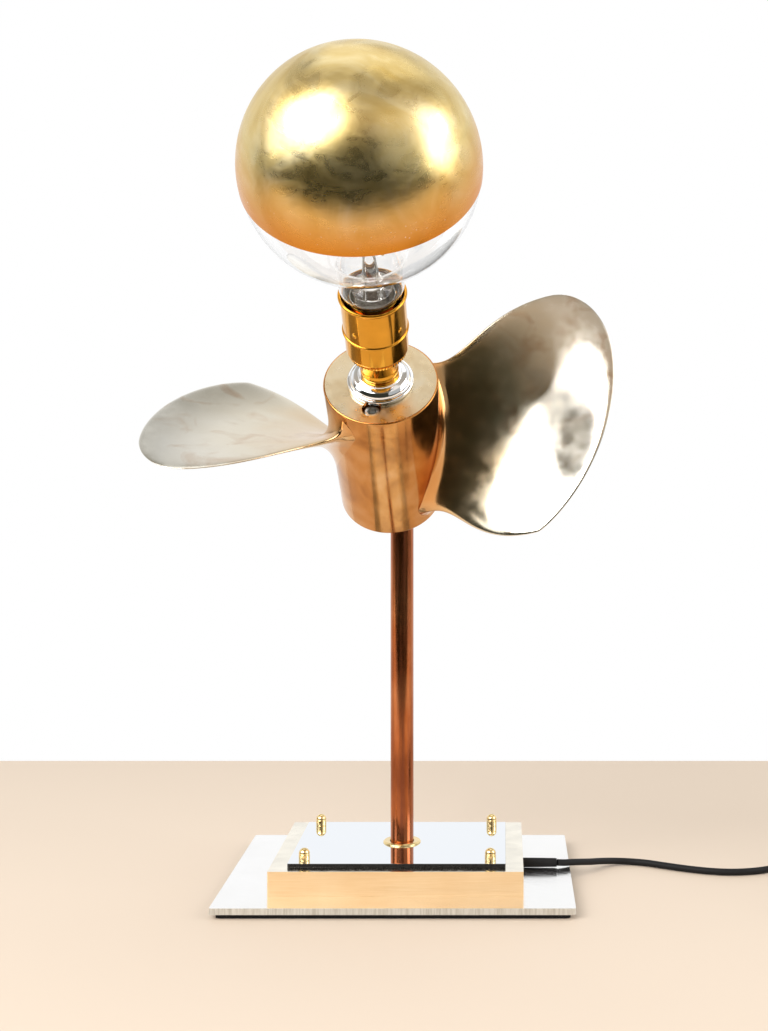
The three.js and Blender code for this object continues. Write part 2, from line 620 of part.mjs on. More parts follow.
makeBase();
makeStem();
makePropeller();
makeHolder();
makeBulb();
makeInnerFlex();
makeFreeCord();
makeSwitch();
makePlug();

export default lamp;
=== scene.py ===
"""Looks for the propeller lamp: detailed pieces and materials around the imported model.

Lengths are millimetres, turned into metres where a mesh is made (MM). Material nodes, lights and the floor
work in metres.
The row frame has +Z up, -Y to the front and the origin under the stem, on the underside of the base pad.
"""

import json
from math import asin, atan2, cos, degrees, exp, pi, radians, sin, sqrt

import bmesh
import bpy
from mathutils import Matrix, Vector


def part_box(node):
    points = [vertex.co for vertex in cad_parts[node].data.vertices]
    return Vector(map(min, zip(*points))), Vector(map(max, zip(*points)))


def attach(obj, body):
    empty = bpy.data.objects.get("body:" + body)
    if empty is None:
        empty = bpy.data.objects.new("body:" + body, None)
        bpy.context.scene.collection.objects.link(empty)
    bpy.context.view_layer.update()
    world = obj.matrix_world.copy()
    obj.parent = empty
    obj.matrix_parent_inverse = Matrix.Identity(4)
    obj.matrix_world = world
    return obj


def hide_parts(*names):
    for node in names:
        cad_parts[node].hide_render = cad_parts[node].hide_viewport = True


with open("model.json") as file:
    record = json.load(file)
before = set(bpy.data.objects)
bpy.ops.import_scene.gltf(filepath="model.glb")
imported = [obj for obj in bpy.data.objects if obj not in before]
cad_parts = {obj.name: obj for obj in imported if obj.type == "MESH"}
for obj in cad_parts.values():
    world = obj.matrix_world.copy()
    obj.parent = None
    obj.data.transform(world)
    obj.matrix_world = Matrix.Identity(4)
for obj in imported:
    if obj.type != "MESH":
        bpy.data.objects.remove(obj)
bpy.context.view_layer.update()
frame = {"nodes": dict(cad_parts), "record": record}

MM = 0.001
BULB_JOINT = next(j for j in frame["record"]["behaviour"]["joints"] if j["name"] == "bulb_turn")
HUB_FACE = Vector(BULB_JOINT["pos_m"]) / MM         # centre of the hub's upper face
HUB_RISE = radians(40)                              # the hub's axis above the level
AXIS = Vector((0, -cos(HUB_RISE), sin(HUB_RISE)))
HEAD = Matrix.Translation(HUB_FACE) @ Matrix.Rotation(pi / 2 - HUB_RISE, 4, "X")
UPRIGHT = Matrix.Identity(4)
ALONG_X = Matrix.Rotation(pi / 2, 4, "Y")


def linked(name, data):
    """A new object that holds the data, in the scene."""
    result = bpy.data.objects.new(name, data)
    bpy.context.scene.collection.objects.link(result)
    return result


# ---- Camera ----

CAMERA = {"place": (66.5, -946, 280), "lens": 50.63, "sensor": 36, "shift_x": -0.1164, "shift_y": -0.0635}


def make_camera():
    data = bpy.data.cameras.new("camera")
    data.lens = CAMERA["lens"]
    data.sensor_width = CAMERA["sensor"]
    data.shift_x = CAMERA["shift_x"]
    data.shift_y = CAMERA["shift_y"]
    camera = linked("camera", data)
    camera.location = Vector(CAMERA["place"]) * MM
    camera.rotation_euler = (pi / 2, 0, 0)
    bpy.context.scene.camera = camera


# ---- Material nodes ----

def material(name, color, metallic=0.0, roughness=0.5, **sockets):
    """A principled material; other sockets by name, with _ for a space."""
    result = bpy.data.materials.new(name)
    result.use_nodes = True
    shader = result.node_tree.nodes["Principled BSDF"]
    shader.inputs["Base Color"].default_value = (*color, 1)
    shader.inputs["Metallic"].default_value = metallic
    shader.inputs["Roughness"].default_value = roughness
    for socket, value in sockets.items():
        shader.inputs[socket.replace("_", " ")].default_value = value
    return result


def add(mat, kind, inputs=None, **settings):
    """A new node; its inputs are values or other nodes' output sockets."""
    node = mat.node_tree.nodes.new(kind)
    for key, value in settings.items():
        setattr(node, key, value)
    for key, value in (inputs or {}).items():
        if isinstance(value, bpy.types.NodeSocket):
            mat.node_tree.links.new(value, node.inputs[key])
        else:
            node.inputs[key].default_value = value
    return node


def place_of(mat, turn=(0, 0, 0), stretch=(1, 1, 1), origin=(0, 0, 0)):
    """The surface point in the row frame, measured from origin, turned and stretched."""
    coords = add(mat, "ShaderNodeTexCoord").outputs["Object"]
    moved = add(mat, "ShaderNodeVectorMath", {0: coords, 1: Vector(origin)}, operation="SUBTRACT").outputs[0]
    turned_point = add(mat, "ShaderNodeMapping", {"Vector": moved, "Rotation": turn}).outputs[0]
    return add(mat, "ShaderNodeMapping", {"Vector": turned_point, "Scale": stretch}).outputs[0]


def calculate(mat, operation, *values):
    return add(mat, "ShaderNodeMath", dict(enumerate(values)), operation=operation).outputs[0]


def noise(mat, vector, scale, detail=3.0, distortion=0.0, rough=0.5):
    inputs = {"Vector": vector, "Scale": scale, "Detail": detail, "Distortion": distortion}
    return add(mat, "ShaderNodeTexNoise", {**inputs, "Roughness": rough}).outputs["Fac"]


def spread(mat, value, low, high, start=0.3, end=0.7):
    """value mapped from start..end to low..high."""
    values = {"Value": value, "From Min": start, "From Max": end, "To Min": low, "To Max": high}
    return add(mat, "ShaderNodeMapRange", values).outputs["Result"]


def ramp(mat, value, stops):
    """A colour ramp of (position, colour) stops."""
    node = add(mat, "ShaderNodeValToRGB", {"Fac": value})
    elements = node.color_ramp.elements
    while len(elements) < len(stops):
        elements.new(0.5)
    for element, (position, color) in zip(elements, stops):
        element.position = position
        element.color = (*color, 1)
    return node.outputs["Color"]


def blend_colors(mat, factor, first, second):
    node = add(mat, "ShaderNodeMix", data_type="RGBA")
    for key, value in {0: factor, 6: first, 7: second}.items():
        if isinstance(value, bpy.types.NodeSocket):
            mat.node_tree.links.new(value, node.inputs[key])
        elif key == 0:
            node.inputs[key].default_value = value
        else:
            node.inputs[key].default_value = (*value, 1)
    return node.outputs[2]


def drive(mat, socket, output):
    mat.node_tree.links.new(output, mat.node_tree.nodes["Principled BSDF"].inputs[socket])


def tint(mat, value, stops):
    """The base colour from a ramp over a value."""
    drive(mat, "Base Color", ramp(mat, value, stops))


def gloss(mat, value, low, high):
    """The roughness from low to high over a value."""
    drive(mat, "Roughness", spread(mat, value, low, high))


def bump(mat, heights):
    """Chained bumps of (height output, depth in mm)."""
    normal = None
    for height, depth in heights:
        inputs = {"Height": height, "Distance": depth * MM, "Strength": 1.0}
        if normal is not None:
            inputs["Normal"] = normal
        normal = add(mat, "ShaderNodeBump", inputs).outputs["Normal"]
    drive(mat, "Normal", normal)


HEAD_TURN = (-(pi / 2 - HUB_RISE), 0, 0)     # from the row frame to the hub's own frame
FACE_POINT = HUB_FACE * MM


def hub_place(mat, stretch=(1, 1, 1)):
    return place_of(mat, HEAD_TURN, stretch, FACE_POINT)


def fine_scratches(mat, vector, scale=900.0):
    """Thin wavering streaks, as a height from 0 to 1."""
    warped = noise(mat, vector, scale / 14, 2.0)
    inputs = {"Vector": vector, "Scale": scale / 6, "Distortion": 9.0, "Detail": 4.0, "Detail Scale": 3.0}
    streak = add(mat, "ShaderNodeTexWave", inputs).outputs["Fac"]
    return calculate(mat, "MULTIPLY", warped, streak)


# ---- Materials ----

def bronze_blade_material():
    """Polished pale bronze, with painted reflection that makes it warmer and a little darker towards the
    root.
    """
    mat = material("bronze_blade", (0.83, 0.72, 0.52), 1.0, 0.1)
    place = hub_place(mat)
    parts = add(mat, "ShaderNodeSeparateXYZ", {0: place})
    flat = add(mat, "ShaderNodeCombineXYZ", {0: parts.outputs[0], 1: parts.outputs[1]}).outputs[0]
    distance = add(mat, "ShaderNodeVectorMath", {0: flat}, operation="LENGTH").outputs["Value"]
    cloud = noise(mat, place, 16.0, 3.0, 0.6)
    shifted = calculate(mat, "MULTIPLY_ADD", cloud, 0.05, -0.025)
    reach = calculate(mat, "ADD", distance, shifted)
    # painted reflection: the ramp runs from a warm, darker tone at the root to the pale bronze further out
    along = spread(mat, reach, 0.0, 1.0, 0.034, 0.13)
    color = ramp(mat, along, [(0.0, (0.66, 0.33, 0.12)), (0.2, (0.68, 0.49, 0.27)), (0.5, (0.74, 0.67, 0.53)),
                              (1.0, (0.80, 0.78, 0.72))])
    stain = noise(mat, place, 42.0, 5.0, 0.8)
    stained = blend_colors(mat, spread(mat, stain, 0.0, 0.55, 0.54, 0.72), color, (0.52, 0.33, 0.19))
    drive(mat, "Base Color", stained)
    wear = noise(mat, place, 90.0, 6.0)
    gloss(mat, wear, 0.09, 0.2)
    bump(mat, [(noise(mat, place, 20.0, 1.0), 0.3), (fine_scratches(mat, place), 0.004)])
    return mat


def bronze_hub_material():
    """The hub's polished side: bronze whose deep orange tone is painted reflection of a warm tabletop, with
    faint turning marks round the axis.
    """
    mat = material("bronze_hub", (0.74, 0.38, 0.14), 1.0, 0.11)
    place = hub_place(mat)
    cloud = noise(mat, place, 30.0, 4.0, 0.5)
    # painted reflection: the orange stops stand in for a warm tabletop seen in the polished side; the cloud
    # spreads them at random
    tint(mat, cloud, [(0.32, (0.38, 0.15, 0.04)), (0.5, (0.62, 0.28, 0.08)), (0.68, (0.74, 0.40, 0.17))])
    gloss(mat, noise(mat, place, 120.0, 5.0), 0.08, 0.19)
    rings = noise(mat, hub_place(mat, (1, 1, 40)), 60.0, 2.0)
    bump(mat, [(noise(mat, place, 26.0, 2.0), 0.25), (rings, 0.006)])
    return mat


def bronze_face_material():
    """The hub's upper face: pale, satin and mottled, with small nicks."""
    mat = material("bronze_face", (0.78, 0.66, 0.44), 1.0, 0.32)
    place = hub_place(mat)
    cloud = noise(mat, place, 70.0, 5.0, 0.4)
    tint(mat, cloud, [(0.3, (0.66, 0.52, 0.32)), (0.55, (0.76, 0.64, 0.44)), (0.8, (0.82, 0.74, 0.58))])
    gloss(mat, noise(mat, place, 160.0, 6.0), 0.22, 0.4)
    nicks = spread(mat, noise(mat, place, 700.0, 3.0, 1.2), 0.0, 1.0, 0.68, 0.76)
    bump(mat, [(noise(mat, place, 380.0, 4.0), 0.02), (nicks, -0.03)])
    return mat


def brass_material(name, color, rough, turn=HEAD_TURN):
    """Lacquered turned brass, a little uneven in colour and gloss."""
    mat = material(name, color, 1.0, rough)
    place = place_of(mat, turn, origin=FACE_POINT)
    cloud = noise(mat, place, 60.0, 3.0, 0.3)
    darker = tuple(0.9 * c for c in color)
    paler = tuple(min(1, 1.08 * c) for c in color)
    tint(mat, cloud, [(0.3, darker), (0.7, paler)])
    gloss(mat, noise(mat, place, 240.0, 4.0), rough * 0.7, rough * 1.5)
    bump(mat, [(noise(mat, place, 420.0, 3.0), 0.004)])
    return mat


def satin_brass_material():
    """The block: drawn brass bar with level grain lines."""
    mat = material("block_brass", (0.86, 0.64, 0.38), 0.5, 0.42)
    grain = noise(mat, place_of(mat, stretch=(6, 6, 260)), 10.0, 5.0)
    cloud = noise(mat, place_of(mat), 26.0, 3.0)
    shade = blend_colors(mat, 0.5, ramp(mat, grain, [(0.3, (0.74, 0.48, 0.23)), (0.7, (0.86, 0.62, 0.36))]),
                         ramp(mat, cloud, [(0.3, (0.78, 0.52, 0.27)), (0.7, (0.86, 0.65, 0.40))]))
    drive(mat, "Base Color", shade)
    gloss(mat, grain, 0.38, 0.52)
    bump(mat, [(grain, 0.02), (noise(mat, place_of(mat), 900.0, 2.0), 0.006)])
    return mat


def copper_material():
    """Drawn copper tube: long streaks, darker where it has toned."""
    mat = material("copper_tube", (0.78, 0.38, 0.22), 1.0, 0.16)
    streak = noise(mat, place_of(mat, stretch=(150, 150, 5)), 3.0, 4.0)
    cloud = noise(mat, place_of(mat, stretch=(30, 30, 12)), 1.6, 4.0)
    stops = [(0.3, (0.26, 0.07, 0.02)), (0.5, (0.50, 0.15, 0.045)), (0.75, (0.80, 0.34, 0.14))]
    color = ramp(mat, cloud, stops)
    drive(mat, "Base Color", blend_colors(mat, spread(mat, streak, 0.0, 0.6), color, (0.26, 0.09, 0.06)))
    gloss(mat, streak, 0.1, 0.26)
    bump(mat, [(streak, 0.012)])
    return mat


def aluminium_material():
    """Polished sheet: nearly a mirror, with fine rubbing marks."""
    mat = material("polished_aluminium", (0.91, 0.91, 0.90), 1.0, 0.14)
    rub = noise(mat, place_of(mat, (0, 0, 0.5), (8, 90, 8)), 9.0, 4.0)
    gloss(mat, rub, 0.1, 0.24)
    tint(mat, noise(mat, place_of(mat), 22.0, 4.0), [(0.3, (0.93, 0.93, 0.92)), (0.7, (0.97, 0.97, 0.97))])
    bump(mat, [(rub, 0.004)])
    return mat


def sawn_material():
    """The sheet's cut edge: grey with upright saw marks."""
    mat = material("sawn_aluminium", (0.62, 0.62, 0.58), 1.0, 0.5)
    marks = noise(mat, place_of(mat, stretch=(900, 900, 60)), 1.0, 5.0)
    tint(mat, marks, [(0.3, (0.58, 0.58, 0.54)), (0.6, (0.80, 0.80, 0.77))])
    gloss(mat, marks, 0.38, 0.62)
    bump(mat, [(marks, 0.06)])
    return mat


def mirror_material():
    mat = material("mirror_silver", (0.86, 0.90, 0.95), 1.0, 0.015)
    dust = noise(mat, place_of(mat), 800.0, 4.0)
    drive(mat, "Roughness", spread(mat, dust, 0.01, 0.05, 0.45, 0.75))
    return mat


def chrome_material():
    mat = material("chrome", (0.86, 0.88, 0.91), 1.0, 0.06)
    gloss(mat, noise(mat, hub_place(mat), 300.0, 4.0), 0.04, 0.11)
    return mat


def gold_leaf_material():
    """Leaf laid by hand: wrinkles, hairlines, a warmer band at its rim that is painted reflection of a warm
    tabletop, and a few bare flecks above it.
    """
    mat = material("gold_leaf", (0.86, 0.62, 0.26), 1.0, 0.24)
    place = hub_place(mat)
    station = add(mat, "ShaderNodeSeparateXYZ", {0: place}).outputs[2]
    rim = (GLOBE["centre"] + CROWN["rim"]) * MM
    # painted reflection: an orange band just above the rim stands in for a warm tabletop
    painted_table_reflection = spread(mat, station, 1.0, 0.0, rim + 0.002, rim + 0.034)
    sheets = noise(mat, place, 26.0, 4.0, 1.4)
    stops = [(0.3, (0.60, 0.43, 0.14)), (0.5, (0.72, 0.56, 0.24)), (0.7, (0.84, 0.72, 0.42))]
    base = ramp(mat, sheets, stops)
    gilt = blend_colors(mat, painted_table_reflection, base, (0.70, 0.27, 0.03))
    near_edge = ramp(mat, spread(mat, station, 0.0, 1.0, rim, rim + 0.03),
                     [(0.1, (0, 0, 0)), (0.3, (1, 1, 1)), (0.6, (0, 0, 0))])
    specks = spread(mat, noise(mat, place, 330.0, 3.0, 1.5), 0.0, 1.0, 0.70, 0.73)
    bare = calculate(mat, "MULTIPLY", near_edge, specks)
    drive(mat, "Base Color", blend_colors(mat, bare, gilt, (0.96, 0.92, 0.84)))
    wrinkle = noise(mat, hub_place(mat, (1, 1, 2.2)), 60.0, 6.0, 1.2, 0.55)
    crease = noise(mat, place, 240.0, 6.0, 3.0, 0.6)
    hairline = noise(mat, hub_place(mat, (20, 20, 260)), 3.2, 4.0, 0.3, 0.6)
    gloss(mat, wrinkle, 0.22, 0.38)
    bump(mat, [(wrinkle, 0.09), (crease, 0.028), (hairline, 0.010)])
    return mat


def glass_material(name="clear_glass"):
    mat = material(name, (1, 1, 1), 0.0, 0.0, Transmission_Weight=1.0, IOR=1.47)
    smear = noise(mat, place_of(mat), 30.0, 3.0)
    bump(mat, [(smear, 0.01)])
    return mat


def mottled_material(name, color, grain, detail, stops, shine=None, depth=None, **sockets):
    """An even grain that shifts the colour and, where given, the roughness and the surface."""
    mat = material(name, color, **sockets)
    cell = noise(mat, place_of(mat), grain, detail)
    tint(mat, cell, stops)
    if shine:
        gloss(mat, cell, *shine)
    if depth:
        bump(mat, [(cell, depth)])
    return mat


def steel_material():
    stops = [(0.3, (0.42, 0.42, 0.40)), (0.7, (0.72, 0.72, 0.69))]
    return mottled_material("zinc_steel", (0.60, 0.60, 0.58), 500.0, 4.0, stops, (0.26, 0.45), metallic=1.0)


def filament_material():
    stops = [(0.35, (0.78, 0.50, 0.10)), (0.65, (0.93, 0.76, 0.30))]
    return mottled_material("filament_phosphor", (0.86, 0.62, 0.16), 1500.0, 2.0, stops, roughness=0.55)


def ceramic_material():
    stops = [(0.3, (0.78, 0.73, 0.64)), (0.7, (0.88, 0.85, 0.78))]
    return mottled_material("porcelain", (0.84, 0.80, 0.72), 160.0, 3.0, stops, roughness=0.3,
                            Coat_Weight=0.4)


def moulded_material(name, color, rough, grain, depth, specular=0.5):
    """Moulded plastic or rubber with a fine surface grain."""
    stops = [(0.3, color), (0.75, tuple(c * 1.5 for c in color))]
    return mottled_material(name, color, grain, 3.0, stops, (rough * 0.85, min(1, rough * 1.15)), depth,
                            Specular_IOR_Level=specular)


# ---- Mesh helpers ----

ALL_SMOOTH = {"weighted": False, "limit": 60}       # for rounded pieces with no crisp edge


def shade(mesh, limit=32):
    """Smooth shading, with edges sharper than the limit kept crisp."""
    work = bmesh.new()
    work.from_mesh(mesh)
    for face in work.faces:
        face.smooth = True
    for edge in work.edges:
        edge.smooth = len(edge.link_faces) == 2 and edge.calc_face_angle(0) < radians(limit)
    work.to_mesh(mesh)
    work.free()


def even_normals(piece, flat_weight=80):
    modifier = piece.modifiers.new("even_normals", "WEIGHTED_NORMAL")
    modifier.keep_sharp = True
    modifier.weight = flat_weight


def finish_object(name, mesh, materials, weighted=True):
    for mat in materials:
        mesh.materials.append(mat)
    result = linked(name, mesh)
    if weighted:
        even_normals(result)
    return result


def closed_mesh(name, points, faces, matrix):
    """A mesh in metres from points in millimetres, with its faces pointing out."""
    mesh = bpy.data.meshes.new(name)
    mesh.from_pydata([(matrix @ Vector(p)) * MM for p in points], [], faces)
    work = bmesh.new()
    work.from_mesh(mesh)
    bmesh.ops.recalc_face_normals(work, faces=work.faces)
    work.to_mesh(mesh)
    work.free()
    return mesh


def mesh_piece(name, points, faces, materials, matrix=UPRIGHT, slots=None, weighted=True, limit=32):
    """A mesh object from points in millimetres; slots gives each face's material index."""
    mesh = closed_mesh(name, points, faces, matrix)
    if slots is not None:
        mesh.polygons.foreach_set("material_index", slots)
    shade(mesh, limit)
    return finish_object(name, mesh, materials, weighted)


def softened(profile, reach, steps=3, closed=True):
    """A profile with each corner replaced by a small curve that starts reach before it."""
    largest_share = 0.42                            # of the side that a curve may take
    nearly_straight = radians(168)
    points = [Vector(p) for p in profile]
    count = len(points)
    result = []
    for i, corner in enumerate(points):
        if not closed and i in (0, count - 1):
            result.append(tuple(corner))
            continue
        before = points[i - 1] - corner
        after = points[(i + 1) % count] - corner
        size = min(reach, largest_share * before.length, largest_share * after.length)
        start = corner + before.normalized() * size
        end = corner + after.normalized() * size
        if before.angle(after) > nearly_straight:
            result.append(tuple(corner))
            continue
        for k in range(steps + 1):
            t = k / steps
            result.append(tuple(start * (1 - t) ** 2 + corner * 2 * t * (1 - t) + end * t ** 2))
    return result


def lathe(profile, segments=96):
    """(points, faces) of a (radius, height) profile turned round Z, closed unless it starts and ends on Z."""
    on_axis = profile[0][0] == 0 and profile[-1][0] == 0
    points = []
    rings = []
    for r, z in profile:
        if r == 0:
            rings.append([len(points)] * segments)
            points.append((0, 0, z))
            continue
        rings.append(list(range(len(points), len(points) + segments)))
        for k in range(segments):
            t = 2 * pi * k / segments
            points.append((r * cos(t), r * sin(t), z))
    faces = []
    pairs = list(zip(rings, rings[1:])) + ([] if on_axis else [(rings[-1], rings[0])])
    for low, high in pairs:
        for k in range(segments):
            n = (k + 1) % segments
            corners = [low[k], low[n], high[n], high[k]]
            corners = [c for i, c in enumerate(corners) if c not in corners[:i]]
            if len(corners) > 2:
                faces.append(corners)
    return points, faces


def bands(rows, sides, closed=False):
    """Four-cornered faces between neighbouring rings of points, and from the last to the first if closed."""
    faces = []
    for row in range(rows if closed else rows - 1):
        low = row * sides
        high = (row + 1) % rows * sides
        for k in range(sides):
            n = (k + 1) % sides
            faces.append([low + k, low + n, high + n, high + k])
    return faces


def arc(radius, start, end, steps, x=0, z=0):
    """Profile points from one angle to another, in degrees, round (x, z); upright comes out exactly at x."""
    angles = [radians(start + (end - start) * k / steps) for k in range(steps + 1)]
    return [(x + radius * round(cos(t), 12), z + radius * sin(t)) for t in angles]


def circle(place, across, up, radius, sides):
    """Points round a place, in the plane of two directions."""
    angles = [2 * pi * k / sides for k in range(sides)]
    return [place + across * (radius * cos(t)) + up * (radius * sin(t)) for t in angles]


def ahead_at(route, i):
    """The direction of a route at its point i."""
    return (route[min(i + 1, len(route) - 1)] - route[max(i - 1, 0)]).normalized()


def turned(name, profile, mat, matrix=HEAD, reach=0.35, segments=96, steps=3, **options):
    """A lathed piece with its corners softened; options go to mesh_piece."""
    closed = not (profile[0][0] == 0 and profile[-1][0] == 0)
    if reach:
        profile = softened(profile, reach, steps, closed)
    points, faces = lathe(profile, segments)
    return mesh_piece(name, points, faces, [mat], matrix, **options)


def join_meshes(name, parts, materials, matrix, **options):
    """One object from several (points, faces, material index) bodies."""
    points, faces, slots = [], [], []
    for part_points, part_faces, slot in parts:
        start = len(points)
        points += [tuple(p) for p in part_points]
        faces += [[start + i for i in face] for face in part_faces]
        slots += [slot] * len(part_faces) if isinstance(slot, int) else list(slot)
    return mesh_piece(name, points, faces, materials, matrix, slots, **options)


def carve(piece, points, faces, matrix):
    """Cuts a closed tool out of a piece."""
    tool = linked("tool", closed_mesh("tool", points, faces, matrix))
    weighted = bool(piece.modifiers)
    piece.modifiers.clear()
    modifier = piece.modifiers.new("cut", "BOOLEAN")
    modifier.operation = "DIFFERENCE"
    modifier.solver = "EXACT"
    modifier.object = tool
    depsgraph = bpy.context.evaluated_depsgraph_get()
    result = bpy.data.meshes.new_from_object(piece.evaluated_get(depsgraph), depsgraph=depsgraph)
    piece.modifiers.clear()
    piece.data = result
    shade(result)
    bpy.data.objects.remove(tool)
    if weighted:
        even_normals(piece)


def rounded_copy(name, node, mats, radius, segments=3, limit=35, pick=None):
    """A copy of a CAD node with its flat faces cleaned up and its sharp edges rounded."""
    same_point = 2e-6
    flat = radians(1.5)
    source = frame["nodes"][node]
    mesh = bpy.data.meshes.new(name)
    mesh.from_pydata([source.matrix_world @ v.co for v in source.data.vertices], [],
                     [list(p.vertices) for p in source.data.polygons])
    work = bmesh.new()
    work.from_mesh(mesh)
    bmesh.ops.remove_doubles(work, verts=work.verts, dist=same_point)
    bmesh.ops.dissolve_limit(work, angle_limit=flat, verts=work.verts, edges=work.edges)
    sharp = [e for e in work.edges if len(e.link_faces) == 2 and e.calc_face_angle(0) > radians(limit)]
    bmesh.ops.bevel(work, geom=sharp, offset=radius * MM, segments=segments, profile=0.5, affect="EDGES",
                    clamp_overlap=True)
    bmesh.ops.recalc_face_normals(work, faces=work.faces)
    if pick:
        for face in work.faces:
            face.material_index = pick(face)
    work.to_mesh(mesh)
    work.free()
    shade(mesh)
    return finish_object(name, mesh, mats)


def settle(piece, slot, *nodes, body="lamp"):
    """The piece rides on a body and stands for CAD nodes, which it hides; slot is not used."""
    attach(piece, body)
    if nodes:
        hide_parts(*nodes)
    return piece


def paint(node, mat):
    """A CAD node that stays gets its own material."""
    data = frame["nodes"][node]
    for material_slot in data.material_slots:
        material_slot.material = mat


# ---- Cord ----

FLEX = {"diameter": 4.4, "exit": (78.5, 2.5, 10.25)}
COIL = {
    "x": 310.8, "y": -30, "middle": 25.4, "pitch": 4.8, "low": 2.3, "turns": 8,
    "drift": 96, "run": (18, 2862), "every": 6,       # degrees
}
COIL_CELLS = [(1, 0), (0, 0), (-1, 0), (-1, 1), (-1, 2), (0, 2), (0, 1), (1, 1), (1, 2)]
LEAD_ROUTE = [
    (101.4, 2.6, 10.2), (106, 3.6, 9.8), (111, 6, 9.4), (117, 10.5, 8.3), (124, 17, 6.6), (131, 24, 5),
    (140, 30.5, 3.3), (150, 32.6, 2.4), (162, 29.5, 2.3), (175, 22.5, 2.3), (190, 15, 2.3), (204, 10, 2.3),
    (217, 8.3, 2.3), (229, 10, 2.3), (240, 14, 2.3), (250, 19, 2.8), (258, 22.8, 4.4), (265, 24.8, 6.4),
    (271.7, 25, 7.2), (302, 25, 7.2),
]
MIDDLE_ROUTE = [
    (332.3, 25, 7.2), (340, 24.4, 6), (348, 20.5, 3.4), (353.5, 13, 2.3), (355, 4, 2.3),
    (352.2, -6, 2.3), (348.8, -15, 2.3), (345.4, -24, 2.3),
]
COIL_LEAVE = (342.8, -29.5, 11.6)                    # where the cord comes away from its last turn
TAIL_ROUTE = [
    (345.6, -39, 9.8), (345.4, -49.5, 7), (341.6, -59.6, 4.4), (335, -68, 3), (326, -74, 3.2),
    (315, -76.7, 5.6), (302.4, -77, 7.4),
]


def smoothstep(t):
    t = min(1, max(0, t))
    return t * t * (3 - 2 * t)


def coil_points():
    """Turns in nine cells, three across and three high, moving on a little earlier each turn."""
    step = 360 * COIL["turns"] / len(COIL_CELLS)
    drift = COIL["drift"]
    first, last = COIL["run"]
    points = []
    for degree in range(first, last + 1, COIL["every"]):
        cell = min(int(degree / step), len(COIL_CELLS) - 1)
        across, layer = COIL_CELLS[cell]
        into = degree - cell * step
        if cell + 1 < len(COIL_CELLS) and into > step - drift / 2:
            share = smoothstep((into - step + drift / 2) / drift)
            following = COIL_CELLS[cell + 1]
            across += (following[0] - across) * share
            layer += (following[1] - layer) * share
        elif cell > 0 and into < drift / 2:
            share = smoothstep(0.5 + into / drift)
            earlier = COIL_CELLS[cell - 1]
            across = earlier[0] + (across - earlier[0]) * share
            layer = earlier[1] + (layer - earlier[1]) * share
        radius = COIL["middle"] + COIL["pitch"] * across
        angle = radians(-degree)
        points.append((COIL["x"] + radius * cos(angle), COIL["y"] + radius * sin(angle),
                       COIL["low"] + COIL["pitch"] * layer))
    return points


def smooth_route(points, spacing=2.0):
    """A centripetal Catmull-Rom curve through the points, sampled evenly enough for a thin cord."""
    points = [Vector(p) for p in points]
    padded = [points[0] * 2 - points[1]] + points + [points[-1] * 2 - points[-2]]
    result = []
    for a, b, c, d in zip(padded, padded[1:], padded[2:], padded[3:]):
        k1 = sqrt((b - a).length)
        k2 = k1 + sqrt((c - b).length)
        k3 = k2 + sqrt((d - c).length)
        steps = max(1, round((c - b).length / spacing))
        for i in range(steps):
            t = k1 + (k2 - k1) * i / steps
            ab = a * ((k1 - t) / k1) + b * (t / k1)
            bc = b * ((k2 - t) / (k2 - k1)) + c * ((t - k1) / (k2 - k1))
            cd = c * ((k3 - t) / (k3 - k2)) + d * ((t - k2) / (k3 - k2))
            left = ab * ((k2 - t) / k2) + bc * (t / k2)
            right = bc * ((k3 - t) / (k3 - k1)) + cd * ((t - k1) / (k3 - k1))
            result.append(left * ((k2 - t) / (k2 - k1)) + right * ((t - k1) / (k2 - k1)))
    result.append(points[-1])
    return result


def make_cord(mats):
    route = smooth_route(LEAD_ROUTE + MIDDLE_ROUTE + coil_points() + [COIL_LEAVE] + TAIL_ROUTE)
    data = bpy.data.curves.new("flex", "CURVE")
    data.dimensions = "3D"
    data.bevel_depth = FLEX["diameter"] / 2 * MM
    data.bevel_resolution = 4
    data.use_fill_caps = True
    spline = data.splines.new("POLY")
    spline.points.add(len(route) - 1)
    for point, place in zip(spline.points, route):
        point.co = (*(place * MM), 1)
    data.materials.append(mats["cord"])
    flex = linked("flex", data)
    settle(flex, "cord", "flex_lead", "flex_middle", "flex_tail", "flex_coil")
    length = sum((b - a).length for a, b in zip(route, route[1:])) * MM
    return flex, length


# ---- Base ----

def level_or_edge(face):
    """0 on the level faces and 1 on the cut edges."""
    return 0 if abs(face.normal.z) > LEVEL else 1


def top_last(face):
    """1 on the upper face and 0 elsewhere."""
    return 1 if face.normal.z > LEVEL else 0


def top_first(face):
    """0 on the upper face and 1 elsewhere."""
    return 0 if face.normal.z > LEVEL else 1


LEVEL = 0.9                 # the least upward part of a level face's normal
BASE_PLATES = [             # piece, node, slot, materials, edge radius, segments, each face's material
    ("aluminium_plate", "base_plate", "aluminium", ("aluminium", "sawn"), 0.25, 2, level_or_edge),
    ("brass_block", "base_block", "satin_brass", ("block", "block_top"), 0.6, 3, top_last),
    ("mirror_glass", "mirror_plate", "mirror", ("mirror", "black_edge"), 0.3, 2, top_first),
]
DOME_NUT = {"round": 3.45, "rise": 3.4, "shoulder": 4.15}


